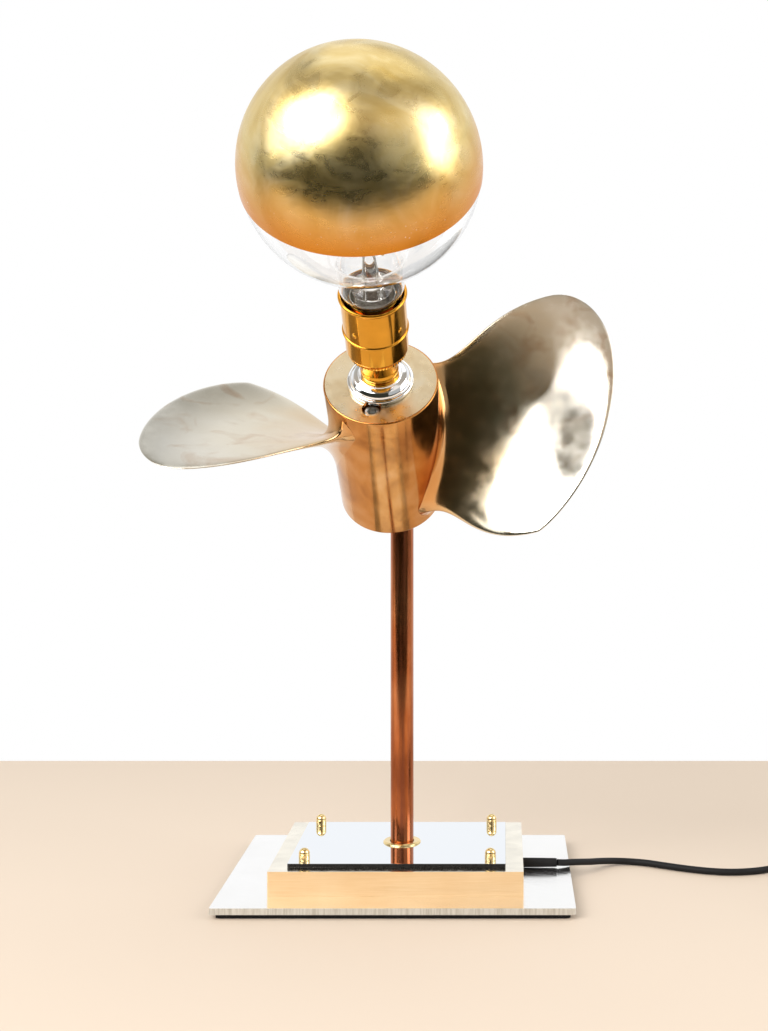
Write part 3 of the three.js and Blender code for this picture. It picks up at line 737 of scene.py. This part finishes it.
def make_base(mats):
    paint("base_pad", mats["rubber"])
    for name, node, slot, looks, radius, segments, pick in BASE_PLATES:
        plate = rounded_copy(name, node, [mats[look] for look in looks], radius, segments, pick=pick)
        settle(plate, slot, node)

    for number in range(1, 5):
        paint(f"block_screw_{number}", mats["steel"])
        paint(f"stud_{number}", mats["steel"])
        low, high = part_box(f"dome_nut_{number}")
        place = Matrix.Translation(((low[0] + high[0]) / 2 / MM, (low[1] + high[1]) / 2 / MM, low[2] / MM))
        body = []
        for degree in range(90, -1, -9):
            t = radians(degree)
            body.append((DOME_NUT["round"] * cos(t), DOME_NUT["shoulder"] + DOME_NUT["rise"] * sin(t)))
        body[0] = (0, body[0][1])
        body += [(3.45, 3.9), (3.2, 3.7), (3.2, 3.45), (3.5, 3.25), (3.5, 0.3), (3.2, 0), (2.3, 0),
                 (2.3, 4.6), (0, 4.6)]
        nut = turned(f"brass_nut_{number}", body, mats["nut_brass"], place, 0.12, 48)
        settle(nut, "brass", f"dome_nut_{number}")
    low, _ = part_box("stem_collar")
    ring = [(7.8, 0), (12.2, 0), (12.25, 0.5), (11.4, 1.35), (8.6, 1.4), (7.8, 1.1)]
    collar = turned("brass_collar", ring, mats["nut_brass"], Matrix.Translation((0, 0, low[2] / MM)), 0.25)
    settle(collar, "brass", "stem_collar")
    paint("stem_set_screw", mats["steel"])


# ---- Stem ----

STEM = {
    "outer": 7.5, "inner": 6.8, "bottom": 7.2, "bend": 30, "end": -80,
    "sides": 64, "upright_steps": 40, "bend_steps": 20, "hub_steps": 12,
}


def stem_route():
    """Upright, round the bend and up inside the hub."""
    angle = pi / 2 - HUB_RISE
    meet = HUB_FACE.z + HUB_FACE.y * (sin(HUB_RISE) / cos(HUB_RISE))
    start = meet - STEM["bend"] * sin(angle / 2) / cos(angle / 2)
    low, steps = STEM["bottom"], STEM["upright_steps"]
    points = [Vector((0, 0, low + (start - low) * k / steps)) for k in range(steps)]
    for k in range(STEM["bend_steps"] + 1):
        t = angle * k / STEM["bend_steps"]
        points.append(Vector((0, STEM["bend"] * (cos(t) - 1), start + STEM["bend"] * sin(t))))
    end = Vector((0, HUB_FACE.y, HUB_FACE.z)) + AXIS * STEM["end"]
    last = points[-1]
    points += [last.lerp(end, (k + 1) / STEM["hub_steps"]) for k in range(STEM["hub_steps"])]
    return points


def make_stem(mats):
    sides = STEM["sides"]
    route = stem_route()
    across = Vector((1, 0, 0))
    ups = [ahead_at(route, i).cross(across) for i in range(len(route))]
    outer, inner = ([circle(place, across, up, STEM[wall], sides) for place, up in zip(route, ups)]
                    for wall in ("outer", "inner"))
    rings = outer + inner[::-1]
    points = [p for ring in rings for p in ring]
    faces = bands(len(rings), sides, closed=True)
    tube = mesh_piece("copper_stem", points, faces, [mats["copper"]], weighted=False)
    settle(tube, "copper", "stem_tube")


# ---- Propeller ----

HUB = {"length": 107, "face": 34, "end": 32, "bore": 15}
BUSH = {"low": -102, "high": -82, "outer": 14.7, "inner": 7.8}
HEX = {"radius": 2.9, "depth": 7}                         # the lock screw's socket
LOCK_HOLE = {"radius": 5, "depth": 15, "offset": 22, "angle": -11}
BLADE = {
    "tip": 143.5, "root": 33, "turn": 15.8, "station": -44, "rake": 0.32,
    "root_pitch": 60, "tip_pitch": 22, "pitch_fade": 0.4, "skew": 0.3, "skew_back": -0.0025,
    "lead": (37, 120, 0.9, 2.5), "trail": (114, 111, 0.77, 1.35),
    "flare": 40, "flare_fade": 13.7, "thick_root": 7.5, "thick_tip": 2.6, "fillet": 9,
    "sides": 144, "rows": 84, "fillet_rows": 12,
    "edge_bulge": 0.75, "fillet_rise": 2.2, "tip_round": 14, "tip_crowding": 2.2,
    "hub_margin": 0.6, "buried": 0.9,
}


def half_chord(radius, edge):
    """How far one edge (chord, widest, narrowing, roundness) lies from the middle line at a radius."""
    chord, widest, narrowing, roundness = edge
    if radius < widest:
        inward = (widest - radius) / (widest - BLADE["root"])
        return chord * (1 - narrowing * inward ** 2)
    outward = min(1, (radius - widest) / (BLADE["tip"] - widest))
    return chord * (1 - outward ** roundness) ** (1 / roundness)


def blade_ring(radius, extra=0.0, sink=0.0):
    """One closed section of the blade at a radius; extra thickens it for the fillet."""
    beyond = radius - BLADE["root"]
    fraction = beyond / (BLADE["tip"] - BLADE["root"])
    flare = BLADE["flare"] * exp(-beyond / BLADE["flare_fade"])
    middle = BLADE["skew"] * beyond + BLADE["skew_back"] * beyond ** 2
    lead = middle + half_chord(radius, BLADE["lead"]) + flare
    trail = middle - half_chord(radius, BLADE["trail"]) - flare
    flattening = (BLADE["root_pitch"] - BLADE["tip_pitch"]) * fraction ** BLADE["pitch_fade"]
    pitch = radians(BLADE["root_pitch"] - flattening)
    thick = BLADE["thick_root"] + (BLADE["thick_tip"] - BLADE["thick_root"]) * fraction
    thick *= sqrt(max(0.0, 1 - fraction ** BLADE["tip_round"]))
    ring = []
    for k in range(BLADE["sides"]):
        t = 2 * pi * k / BLADE["sides"]
        across = cos(t)
        side = 1 if sin(t) > 0 else -1
        bulge = abs(sin(t)) ** BLADE["edge_bulge"]
        chord = trail + (lead - trail) * (across + 1) / 2
        lift = side * (thick / 2 * bulge + extra * min(1, BLADE["fillet_rise"] * abs(sin(t))))
        angle = radians(BLADE["turn"]) + (chord * cos(pitch) - lift * sin(pitch)) / radius
        z = BLADE["station"] + chord * sin(pitch) + BLADE["rake"] * beyond + lift * cos(pitch)
        if radius < BLADE["root"] + BLADE["fillet"]:
            z = min(-BLADE["hub_margin"], max(BLADE["hub_margin"] - HUB["length"], z))
        hub = HUB["face"] + (HUB["face"] - HUB["end"]) * z / HUB["length"]
        out = radius + sink * (hub - BLADE["root"])
        ring.append((out * cos(angle), out * sin(angle), z))
    return ring


def blade_body():
    """(points, faces) of one blade, from under the hub's surface, through the fillet, to the tip."""
    fillet = BLADE["fillet"]
    root = BLADE["root"]
    buried = BLADE["buried"]
    rings = [[(x * buried, y * buried, z) for x, y, z in blade_ring(root, fillet, 1.0)]]
    for i in range(BLADE["fillet_rows"] + 1):
        turn = pi / 2 * (1 - i / BLADE["fillet_rows"])
        rings.append(blade_ring(root + fillet * (1 - sin(turn)), fillet * (1 - cos(turn)), sin(turn) ** 2))
    start = root + fillet
    for i in range(1, BLADE["rows"]):
        along = i / BLADE["rows"]
        rings.append(blade_ring(start + (BLADE["tip"] - start) * (1 - (1 - along) ** BLADE["tip_crowding"])))
    sides = BLADE["sides"]
    points = [p for ring in rings for p in ring]
    faces = bands(len(rings), sides)
    faces.append(list(range(sides)))
    tip = sum((Vector(p) for p in rings[-1]), Vector()) / sides
    last = (len(rings) - 1) * sides
    points.append(tuple(tip))
    faces += [[last + k, last + (k + 1) % sides, len(points) - 1] for k in range(sides)]
    return points, faces


def make_propeller(mats):
    length, face, end, bore = HUB["length"], HUB["face"], HUB["end"], HUB["bore"]
    outline = [(bore, 0), (face, 0), (end, -length), (bore, -length)]
    profile = softened(outline, 1.1, 5)
    points, faces = lathe(profile, 160)
    slots = []
    for corners in faces:
        heights = [points[i][2] for i in corners]
        middle = sum(heights) / len(heights)
        level = max(heights) - min(heights) < 1e-4
        slots.append(2 if level and middle > -1 else 1)
    hub = join_meshes("hub_casting", [(points, faces, slots)], [mats["blade"], mats["hub"], mats["hub_face"]],
                      HEAD, limit=50)
    angle = radians(LOCK_HOLE["angle"] - 90)
    place = Matrix.Translation((LOCK_HOLE["offset"] * cos(angle), LOCK_HOLE["offset"] * sin(angle), 0))
    r, depth = LOCK_HOLE["radius"], LOCK_HOLE["depth"]
    tool = lathe([(0, -depth), (r, -depth), (r, -0.9), (r + 0.7, 0.02), (r + 0.7, 1), (0, 1)], 48)
    carve(hub, *tool, HEAD @ place)
    settle(hub, "bronze", "propeller")

    blade_points, blade_faces = blade_body()
    for number in (1, 2):
        turn = HEAD @ Matrix.Rotation(pi * (number - 1), 4, "Z")
        blade = mesh_piece(f"propeller_blade_{number}", blade_points, blade_faces, [mats["blade"]], turn,
                           **ALL_SMOOTH)
        settle(blade, "bronze", "propeller")

    screw = turned("lock_screw", [(0, -12), (4.7, -12), (4.7, -2.9), (4.1, -2.3), (0, -2.3)], mats["steel"],
                   HEAD @ place, 0.3, 48)
    hexagon = [(HEX["radius"] * cos(pi * k / 3), HEX["radius"] * sin(pi * k / 3)) for k in range(6)]
    socket_points = [(x, y, z) for z in (-HEX["depth"], 0) for x, y in hexagon]
    socket_faces = [[0, 1, 2, 3, 4, 5], [6, 7, 8, 9, 10, 11]] + bands(2, 6)
    carve(screw, socket_points, socket_faces, HEAD @ place)
    settle(screw, "steel", "hub_lock_screw")

    low, high, outer, inner = BUSH["low"], BUSH["high"], BUSH["outer"], BUSH["inner"]
    section = [(0, low), (outer, low), (outer, high), (0, high)]
    bush = turned("hub_bush", section, mats["nut_brass"], HEAD, 0.4)
    past = 5
    hole = lathe([(0, low - past), (inner, low - past), (inner, high + past), (0, high + past)], 64)
    carve(bush, *hole, HEAD @ Matrix.Translation((-HUB_FACE.x, 0, 0)))
    settle(bush, "satin_brass", "stem_bush")


# ---- Lampholder ----

KNURL = {
    "teeth": 56, "valley": 16.1, "crest": 16.8,
    "levels": [(0.94, 26), (1, 26.6), (1, 28.3), (0.94, 28.9), (0.33, 28.9), (0.33, 26)],    # size, height
}
LUG = {
    "count": 4, "first": -125, "rows": 8, "columns": 24, "wall": 18.2, "rise": 0.62, "reach": 1.55,
    "height": 53, "stretch": 1.25,
}
THREAD = {"inner": 13.45, "outer": 14.5, "low": 46, "high": 70}
THREAD_RIDGES = {"middle": 14.2, "wave": 0.3, "low": 46, "step": 0.3, "run": (1, 80)}
CAP_RIDGES = {"middle": 12.7, "wave": 0.35, "low": 51, "step": 0.24, "run": (0, 75)}


def ridged(shape):
    """Profile points of round ridges, twelve steps to a ridge."""
    middle, wave = shape["middle"], shape["wave"]
    steps = range(*shape["run"])
    return [(middle + wave * cos(2 * pi * k / 12), shape["low"] + shape["step"] * k) for k in steps]


def make_holder(mats):
    brass = mats["brass"]
    dome = [(5.2, 0.3), (19.7, 0.3), (19.7, 2.2), (19.2, 2.9), (17.9, 3.1), (17.2, 4.6), (15.6, 6.2),
            (13.6, 7.1), (12.9, 7.3), (12.7, 8.2), (5.2, 8.2)]
    settle(turned("dome_chrome", dome, mats["chrome"], reach=0.5, steps=4), "chrome", "chrome_dome")

    neck = [(5.2, 8.5), (9.6, 8.5), (11, 9.4), (11.25, 10.6), (11.2, 12), (10.6, 13.4), (10.4, 17),
            (10.8, 21), (12.6, 24.4), (13.4, 25.2), (13.4, 25.7), (5.2, 25.7)]
    settle(turned("neck_brass", neck, brass, reach=0.6, steps=4), "brass", "holder_neck")

    outline = []
    for k in range(KNURL["teeth"]):
        for part, radius in ((0, KNURL["valley"]), (0.3, KNURL["crest"]), (0.7, KNURL["crest"])):
            t = 2 * pi * (k + part) / KNURL["teeth"]
            outline.append((radius * cos(t), radius * sin(t)))
    points = [(x * size, y * size, z) for size, z in KNURL["levels"] for x, y in outline]
    faces = bands(len(KNURL["levels"]), len(outline), closed=True)
    ring = mesh_piece("knurl_brass", points, faces, [brass], HEAD)
    settle(ring, "brass", "knurled_ring")

    cup = [(5.2, 29.3), (16.9, 29.3), (17.8, 29.9), (18, 30.9), (18, 44.7), (16.9, 44.7), (16.9, 32.5),
           (5.2, 32.5)]
    settle(turned("body_brass", cup, brass, reach=0.5, steps=4), "brass", "holder_body")
    make_shell(mats)
    insert = [(3.2, 32.9), (16.5, 32.9), (16.5, 56), (14.9, 56), (14.9, 42), (3.2, 42)]
    settle(turned("insert_porcelain", insert, mats["ceramic"], reach=0.3), "ceramic", "ceramic_insert")
    inner, outer, low, high = THREAD["inner"], THREAD["outer"], THREAD["low"], THREAD["high"]
    thread = [(inner, low), (outer, low), *ridged(THREAD_RIDGES), (outer, high), (inner, high)]
    settle(turned("thread_brass", thread, brass, reach=0), "brass", "thread_shell")


def make_shell(mats):
    """Rolled rim, seam bead and four pressed lugs, each a raised round."""
    section = [(17.2, 45), (18.7, 45), (19, 45.3), (19, 45.9), (18.7, 46.3), (18.25, 46.5), (18.25, 69.4),
               (18.5, 69.9), (19.1, 70.3), (19.35, 71), (19.2, 71.7), (18.7, 72.2), (17.9, 72.1),
               (17.4, 71.4), (17.2, 70.4)]
    parts = [(*lathe(softened(section, 0.4), 120), 0)]
    rows, columns, wall = LUG["rows"], LUG["columns"], LUG["wall"]
    for number in range(LUG["count"]):
        angle = radians(LUG["first"] + 360 / LUG["count"] * number)
        lug = []
        for i in range(rows + 1):
            depth = wall + LUG["rise"] * cos(pi / 2 * i / rows)
            reach = LUG["reach"] * sin(pi / 2 * i / rows)
            for k in range(columns):
                t = 2 * pi * k / columns
                turn = angle + reach * cos(t) / wall
                height = LUG["height"] + LUG["stretch"] * reach * sin(t)
                lug.append((depth * cos(turn), depth * sin(turn), height))
        faces = bands(rows + 1, columns)
        faces.append(list(range(rows * columns, (rows + 1) * columns)))
        parts.append((lug, faces, 0))
    shell = join_meshes("shell_brass", parts, [mats["brass"]], HEAD)
    settle(shell, "brass", "holder_shell")


# ---- Bulb ----

GLOBE = {
    "radius": 61.6, "centre": 159.6, "wall": 0.9, "neck": 18.3, "blend": 10, "foot": 72.1,
    "tuck": 4.6, "tuck_start": 79, "foot_share": 0.4,
}
CROWN = {"inner": 61.9, "outer": 62.1, "rim": -4.8}
WIRE = {"lead": 0.3, "post": 0.45, "stand": 0.35}        # radii
FILAMENT = {"count": 4, "circle": 12, "radius": 1.1, "low": 107, "high": 145}


def globe_profile(wall):
    """The globe's section from its crown to its foot, shrunk inward by a wall."""
    radius = GLOBE["radius"] - wall
    neck = GLOBE["neck"] - wall
    blend = GLOBE["blend"] + wall
    drop = sqrt((radius + blend) ** 2 - (neck + blend) ** 2)
    join = degrees(atan2(-drop, neck + blend))
    centre = GLOBE["centre"]
    profile = arc(radius, 90, join, 60, z=centre)
    profile += arc(blend, 180 + join, 180, 12, neck + blend, centre - drop)[1:]
    start = GLOBE["tuck_start"]
    depth = start - GLOBE["foot"] - wall * GLOBE["foot_share"]
    for k in range(13):
        t = pi / 2 * k / 12
        profile.append((neck - GLOBE["tuck"] * (1 - cos(t)), start - depth * sin(t)))
    return profile


def make_bulb(mats):
    walls = globe_profile(0) + globe_profile(GLOBE["wall"])[::-1]
    glass = turned("globe_glass", walls, mats["glass"], reach=0, segments=128, **ALL_SMOOTH)
    settle(glass, "glass", "bulb_glass", body="bulb")

    rim = degrees(asin(CROWN["rim"] / CROWN["outer"]))
    outer, inner = (arc(CROWN[wall], 90, rim, 80, z=GLOBE["centre"]) for wall in ("outer", "inner"))
    crown = turned("leaf_crown", outer + inner[::-1], mats["leaf"], reach=0, segments=160, **ALL_SMOOTH)
    settle(crown, "gold_leaf", "gold_crown", body="bulb")

    cap = [(5.5, 47.2), (9, 47.2), (11.2, 48.6), (12.2, 50.2)]
    cap += ridged(CAP_RIDGES)
    cap += [(13.05, 69.4), (13.05, 71.7), (12.3, 71.7), (12.3, 51.3), (11.5, 50), (8.8, 47.8), (5.5, 47.8)]
    shell = turned("cap_nickel", cap, mats["steel"], reach=0.12, weighted=False, limit=50)
    settle(shell, "steel", "bulb_cap", body="bulb")
    contact = [(0, 45), (2.6, 45.1), (3.3, 45.5), (3.6, 46), (5.1, 46.7), (5.1, 48.6), (0, 48.6)]
    button = turned("contact_steel", contact, mats["steel"], reach=0.3)
    settle(button, "steel", "bulb_contact", body="bulb_foot")

    mount = [(0, 75.5), (11, 75.5), (11.4, 76.2), (9.8, 77.6), (7.2, 79.5), (5.5, 82), (4.8, 85), (4.2, 90),
             (3.6, 97), (3.3, 101), (3.4, 103), (2.4, 105.4), (0, 106)]
    stand = turned("mount_glass", mount, mats["mount_glass"], reach=1.0, **ALL_SMOOTH)
    settle(stand, "glass", "glass_mount", body="bulb")
    for number in range(FILAMENT["count"]):
        make_filament(mats, number)
    parts = [(*wire([(0, 0, 105), (0, 0, 146.8)], WIRE["post"]), 0)]
    for side in (-1, 1):
        route = [(2.2 * side, 0, 78), (2.4 * side, 0, 90), (1.2 * side, 0, 103)]
        parts.append((*wire(route, WIRE["stand"]), 0))
    post = join_meshes("support_post", parts, [mats["steel"]], HEAD, **ALL_SMOOTH)
    settle(post, "steel", body="bulb")


def make_filament(mats, number):
    """One coated rod with round ends, and its two lead wires."""
    angle = pi * (2 * number + 1) / FILAMENT["count"]
    radius, low, high = FILAMENT["radius"], FILAMENT["low"], FILAMENT["high"]
    x, y = FILAMENT["circle"] * cos(angle), FILAMENT["circle"] * sin(angle)
    rod = arc(radius, 90, 0, 6, z=high - radius) + arc(radius, 0, -90, 6, z=low + radius)
    thread = turned(f"filament_rod_{number + 1}", rod, mats["filament"],
                    HEAD @ Matrix.Translation((x, y, 0)), 0, 24, weighted=False)
    settle(thread, "filament", f"filament_{number + 1}", body="bulb")

    def beside(out, height):
        return out * cos(angle), out * sin(angle), height

    routes = [[beside(1.5, 103), beside(5.5, 105), (x, y, low + 0.2)],
              [beside(0.6, 146.6), beside(6, 146.6), (x, y, high - 0.4)]]
    parts = [(*wire(route, WIRE["lead"]), 0) for route in routes]
    lead = join_meshes(f"lead_wire_{number + 1}", parts, [mats["steel"]], HEAD, **ALL_SMOOTH)
    settle(lead, "steel", body="bulb")


def wire(points, radius, sides=10):
    """(points, faces) of a thin closed rod through a few points."""
    route = smooth_route(points, 1.0) if len(points) > 2 else [Vector(p) for p in points]
    result = []
    for i, place in enumerate(route):
        ahead = ahead_at(route, i)
        side = ahead.orthogonal().normalized() if i == 0 else (side - ahead * side.dot(ahead)).normalized()
        result += circle(place, side, ahead.cross(side), radius, sides)
    last = (len(route) - 1) * sides
    faces = bands(len(route), sides) + [list(range(sides)), list(range(last, last + sides))]
    return result, faces


# ---- Pieces on the cord ----

MOULDINGS = [               # piece, node, body, slot, material, edge radius, segments, least angle of an edge
    ("tie_strap", "coil_tie", "lamp", "rubber", "rubber", 0.3, 2, 35),
    ("switch_lower", "switch_base", "lamp", "black_plastic", "plastic", 0.9, 4, 50),
    ("switch_upper", "switch_cover", "lamp", "black_plastic", "plastic", 0.9, 4, 50),
    ("rocker_cap", "switch_rocker", "rocker", "black_plastic", "gloss_plastic", 0.5, 3, 35),
    ("plug_shell", "plug_body", "lamp", "black_plastic", "plastic", 2.2, 5, 40),
]


def make_cord_pieces(mats):
    """Returns the pieces that the cord carries."""
    low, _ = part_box("cord_relief")
    start = low[0] / MM
    sideways = Matrix.Translation((start, *FLEX["exit"][1:])) @ ALONG_X
    sleeve = [(2.4, 0), (3.05, 0), (3.05, 16), (3.0, 22), (2.9, 29), (2.8, 35.4), (2.6, 36.5), (2.4, 36.5)]
    relief = turned("relief_sleeve", sleeve, mats["rubber"], sideways, 0.15, 48)
    settle(relief, "rubber", "cord_relief")
    pieces = [relief]
    for name, node, body, slot, look, radius, segments, limit in MOULDINGS:
        moulding = rounded_copy(name, node, [mats[look]], radius, segments, limit)
        pieces.append(settle(moulding, slot, node, body=body))
    paint("switch_contact", mats["nut_brass"])
    for number in (1, 2):
        paint(f"switch_screw_{number}", mats["steel"])
    for number in (1, 2):
        low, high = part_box(f"plug_pin_{number}")
        length = (high[0] - low[0]) / MM
        place = Matrix.Translation((low[0] / MM, (low[1] + high[1]) / 2 / MM, (low[2] + high[2]) / 2 / MM))
        profile = [(0, 0), (1.1, 0.1), (1.75, 0.7), (1.98, 1.8), (1.98, 9.5), (1.98, length), (0, length)]
        pin = turned(f"pin_{number}", profile, mats["pin_brass"], place @ ALONG_X, 0.2, 32)
        pieces.append(settle(pin, "brass", f"plug_pin_{number}"))
    return pieces


# ---- Light and floor ----

LIT_POINT = (0, -0.1, 0.3)
SOFTBOXES = [               # name, place, size, power, and the shape where it is not a rectangle
    ("softbox_left", (-1.0, -1.35, 1.3), (1.7, 1.35), 37, "ELLIPSE"),
    ("softbox_side", (-1.65, -0.8, 1.15), (0.9, 1.3), 10),
    ("softbox_right", (1.5, -0.4, 0.85), (0.9, 1.2), 12),
    ("softbox_front", (1.0, -1.15, 0.85), (1.2, 1.5), 2.6),
    ("softbox_top", (0.1, 0.2, 2.0), (1.6, 1.2), 6),
]
FLOOR = {"side": 2.5, "front": -0.55, "back": 0.36, "color": (0.66, 0.56, 0.46), "roughness": 0.6}
WHITE = (1.0, 1.0, 1.0)


def make_world():
    """Bright behind, a dimmer ceiling and a dark front, in smooth gradients; plain white to the camera."""
    world = bpy.data.worlds.new("studio")
    bpy.context.scene.world = world
    world.use_nodes = True
    links = world.node_tree.links
    background = world.node_tree.nodes["Background"]
    direction = add(world, "ShaderNodeTexCoord").outputs["Generated"]
    parts = add(world, "ShaderNodeSeparateXYZ", {0: direction})

    def fade(value, start, end):
        values = {"Value": value, "From Min": start, "From Max": end}
        return add(world, "ShaderNodeMapRange", values, interpolation_type="SMOOTHSTEP").outputs["Result"]

    front = ramp(world, parts.outputs[2], [(0.06, (0.035, 0.035, 0.024)), (0.24, (0.07, 0.065, 0.042)),
                                           (0.46, (0.58, 0.46, 0.34)), (0.9, (0.44, 0.40, 0.34))])
    back = blend_colors(world, fade(parts.outputs[2], 0.62, 0.9), WHITE, (0.28, 0.26, 0.21))
    room = blend_colors(world, fade(parts.outputs[1], -0.15, 0.5), front, back)
    camera_ray = add(world, "ShaderNodeLightPath").outputs["Is Camera Ray"]
    links.new(blend_colors(world, camera_ray, room, WHITE), background.inputs["Color"])
    background.inputs["Strength"].default_value = 1.0


def softbox(name, place, size, power, shape="RECTANGLE"):
    """An area light that faces the lamp."""
    data = bpy.data.lights.new(name, "AREA")
    data.shape = shape
    data.size, data.size_y = size
    data.energy = power
    light = linked(name, data)
    light.location = place
    light.rotation_euler = (Vector(LIT_POINT) - Vector(place)).to_track_quat("-Z", "Y").to_euler()


def make_studio():
    make_world()
    for values in SOFTBOXES:
        softbox(*values)
    mesh = bpy.data.meshes.new("floor")
    side, front, back = FLOOR["side"], FLOOR["front"], FLOOR["back"]
    corners = [(-side, front, 0), (side, front, 0), (side, back, 0), (-side, back, 0)]
    mesh.from_pydata(corners, [], [[0, 1, 2, 3]])
    mesh.materials.append(material("floor", FLOOR["color"], 0.0, FLOOR["roughness"]))
    linked("floor", mesh)
    bpy.context.scene.view_settings.view_transform = "Standard"


def make_materials():
    dark = (0.012, 0.012, 0.013)
    soot = (0.006, 0.006, 0.007)
    return {
        "blade": bronze_blade_material(),
        "hub": bronze_hub_material(),
        "hub_face": bronze_face_material(),
        "brass": brass_material("holder_brass", (0.76, 0.36, 0.04), 0.09),
        "nut_brass": brass_material("turned_brass", (0.88, 0.68, 0.34), 0.16, (0, 0, 0)),
        "pin_brass": brass_material("pin_brass", (0.90, 0.82, 0.62), 0.2, (0, 0, 0)),
        "block": satin_brass_material(),
        "block_top": brass_material("polished_bar", (0.93, 0.88, 0.76), 0.14, (0, 0, 0)),
        "copper": copper_material(),
        "aluminium": aluminium_material(),
        "sawn": sawn_material(),
        "mirror": mirror_material(),
        "black_edge": moulded_material("black_edge", dark, 0.12, 600.0, 0.002),
        "chrome": chrome_material(),
        "steel": steel_material(),
        "leaf": gold_leaf_material(),
        "glass": glass_material(),
        "mount_glass": glass_material("mount_glass"),
        "filament": filament_material(),
        "ceramic": ceramic_material(),
        "rubber": moulded_material("rubber", soot, 0.7, 2200.0, 0.01, 0.25),
        "plastic": moulded_material("plastic", dark, 0.42, 3000.0, 0.015),
        "gloss_plastic": moulded_material("gloss_plastic", dark, 0.22, 2500.0, 0.004),
        "cord": moulded_material("cord_sheath", soot, 0.6, 1800.0, 0.006, 0.25),
    }


def paint_hidden(mats):
    """The pieces inside the hub and lampholder that are kept as they are."""
    paint("inner_flex", mats["cord"])
    for node in ("holder_bush", "holder_nipple", "nipple_nut"):
        paint(node, mats["steel"])
    paint("contact_tongue", mats["nut_brass"])


make_camera()
materials = make_materials()
flex, flex_length = make_cord(materials)
carried = make_cord_pieces(materials)
make_base(materials)
make_stem(materials)
make_propeller(materials)
make_holder(materials)
make_bulb(materials)
paint_hidden(materials)
make_studio()
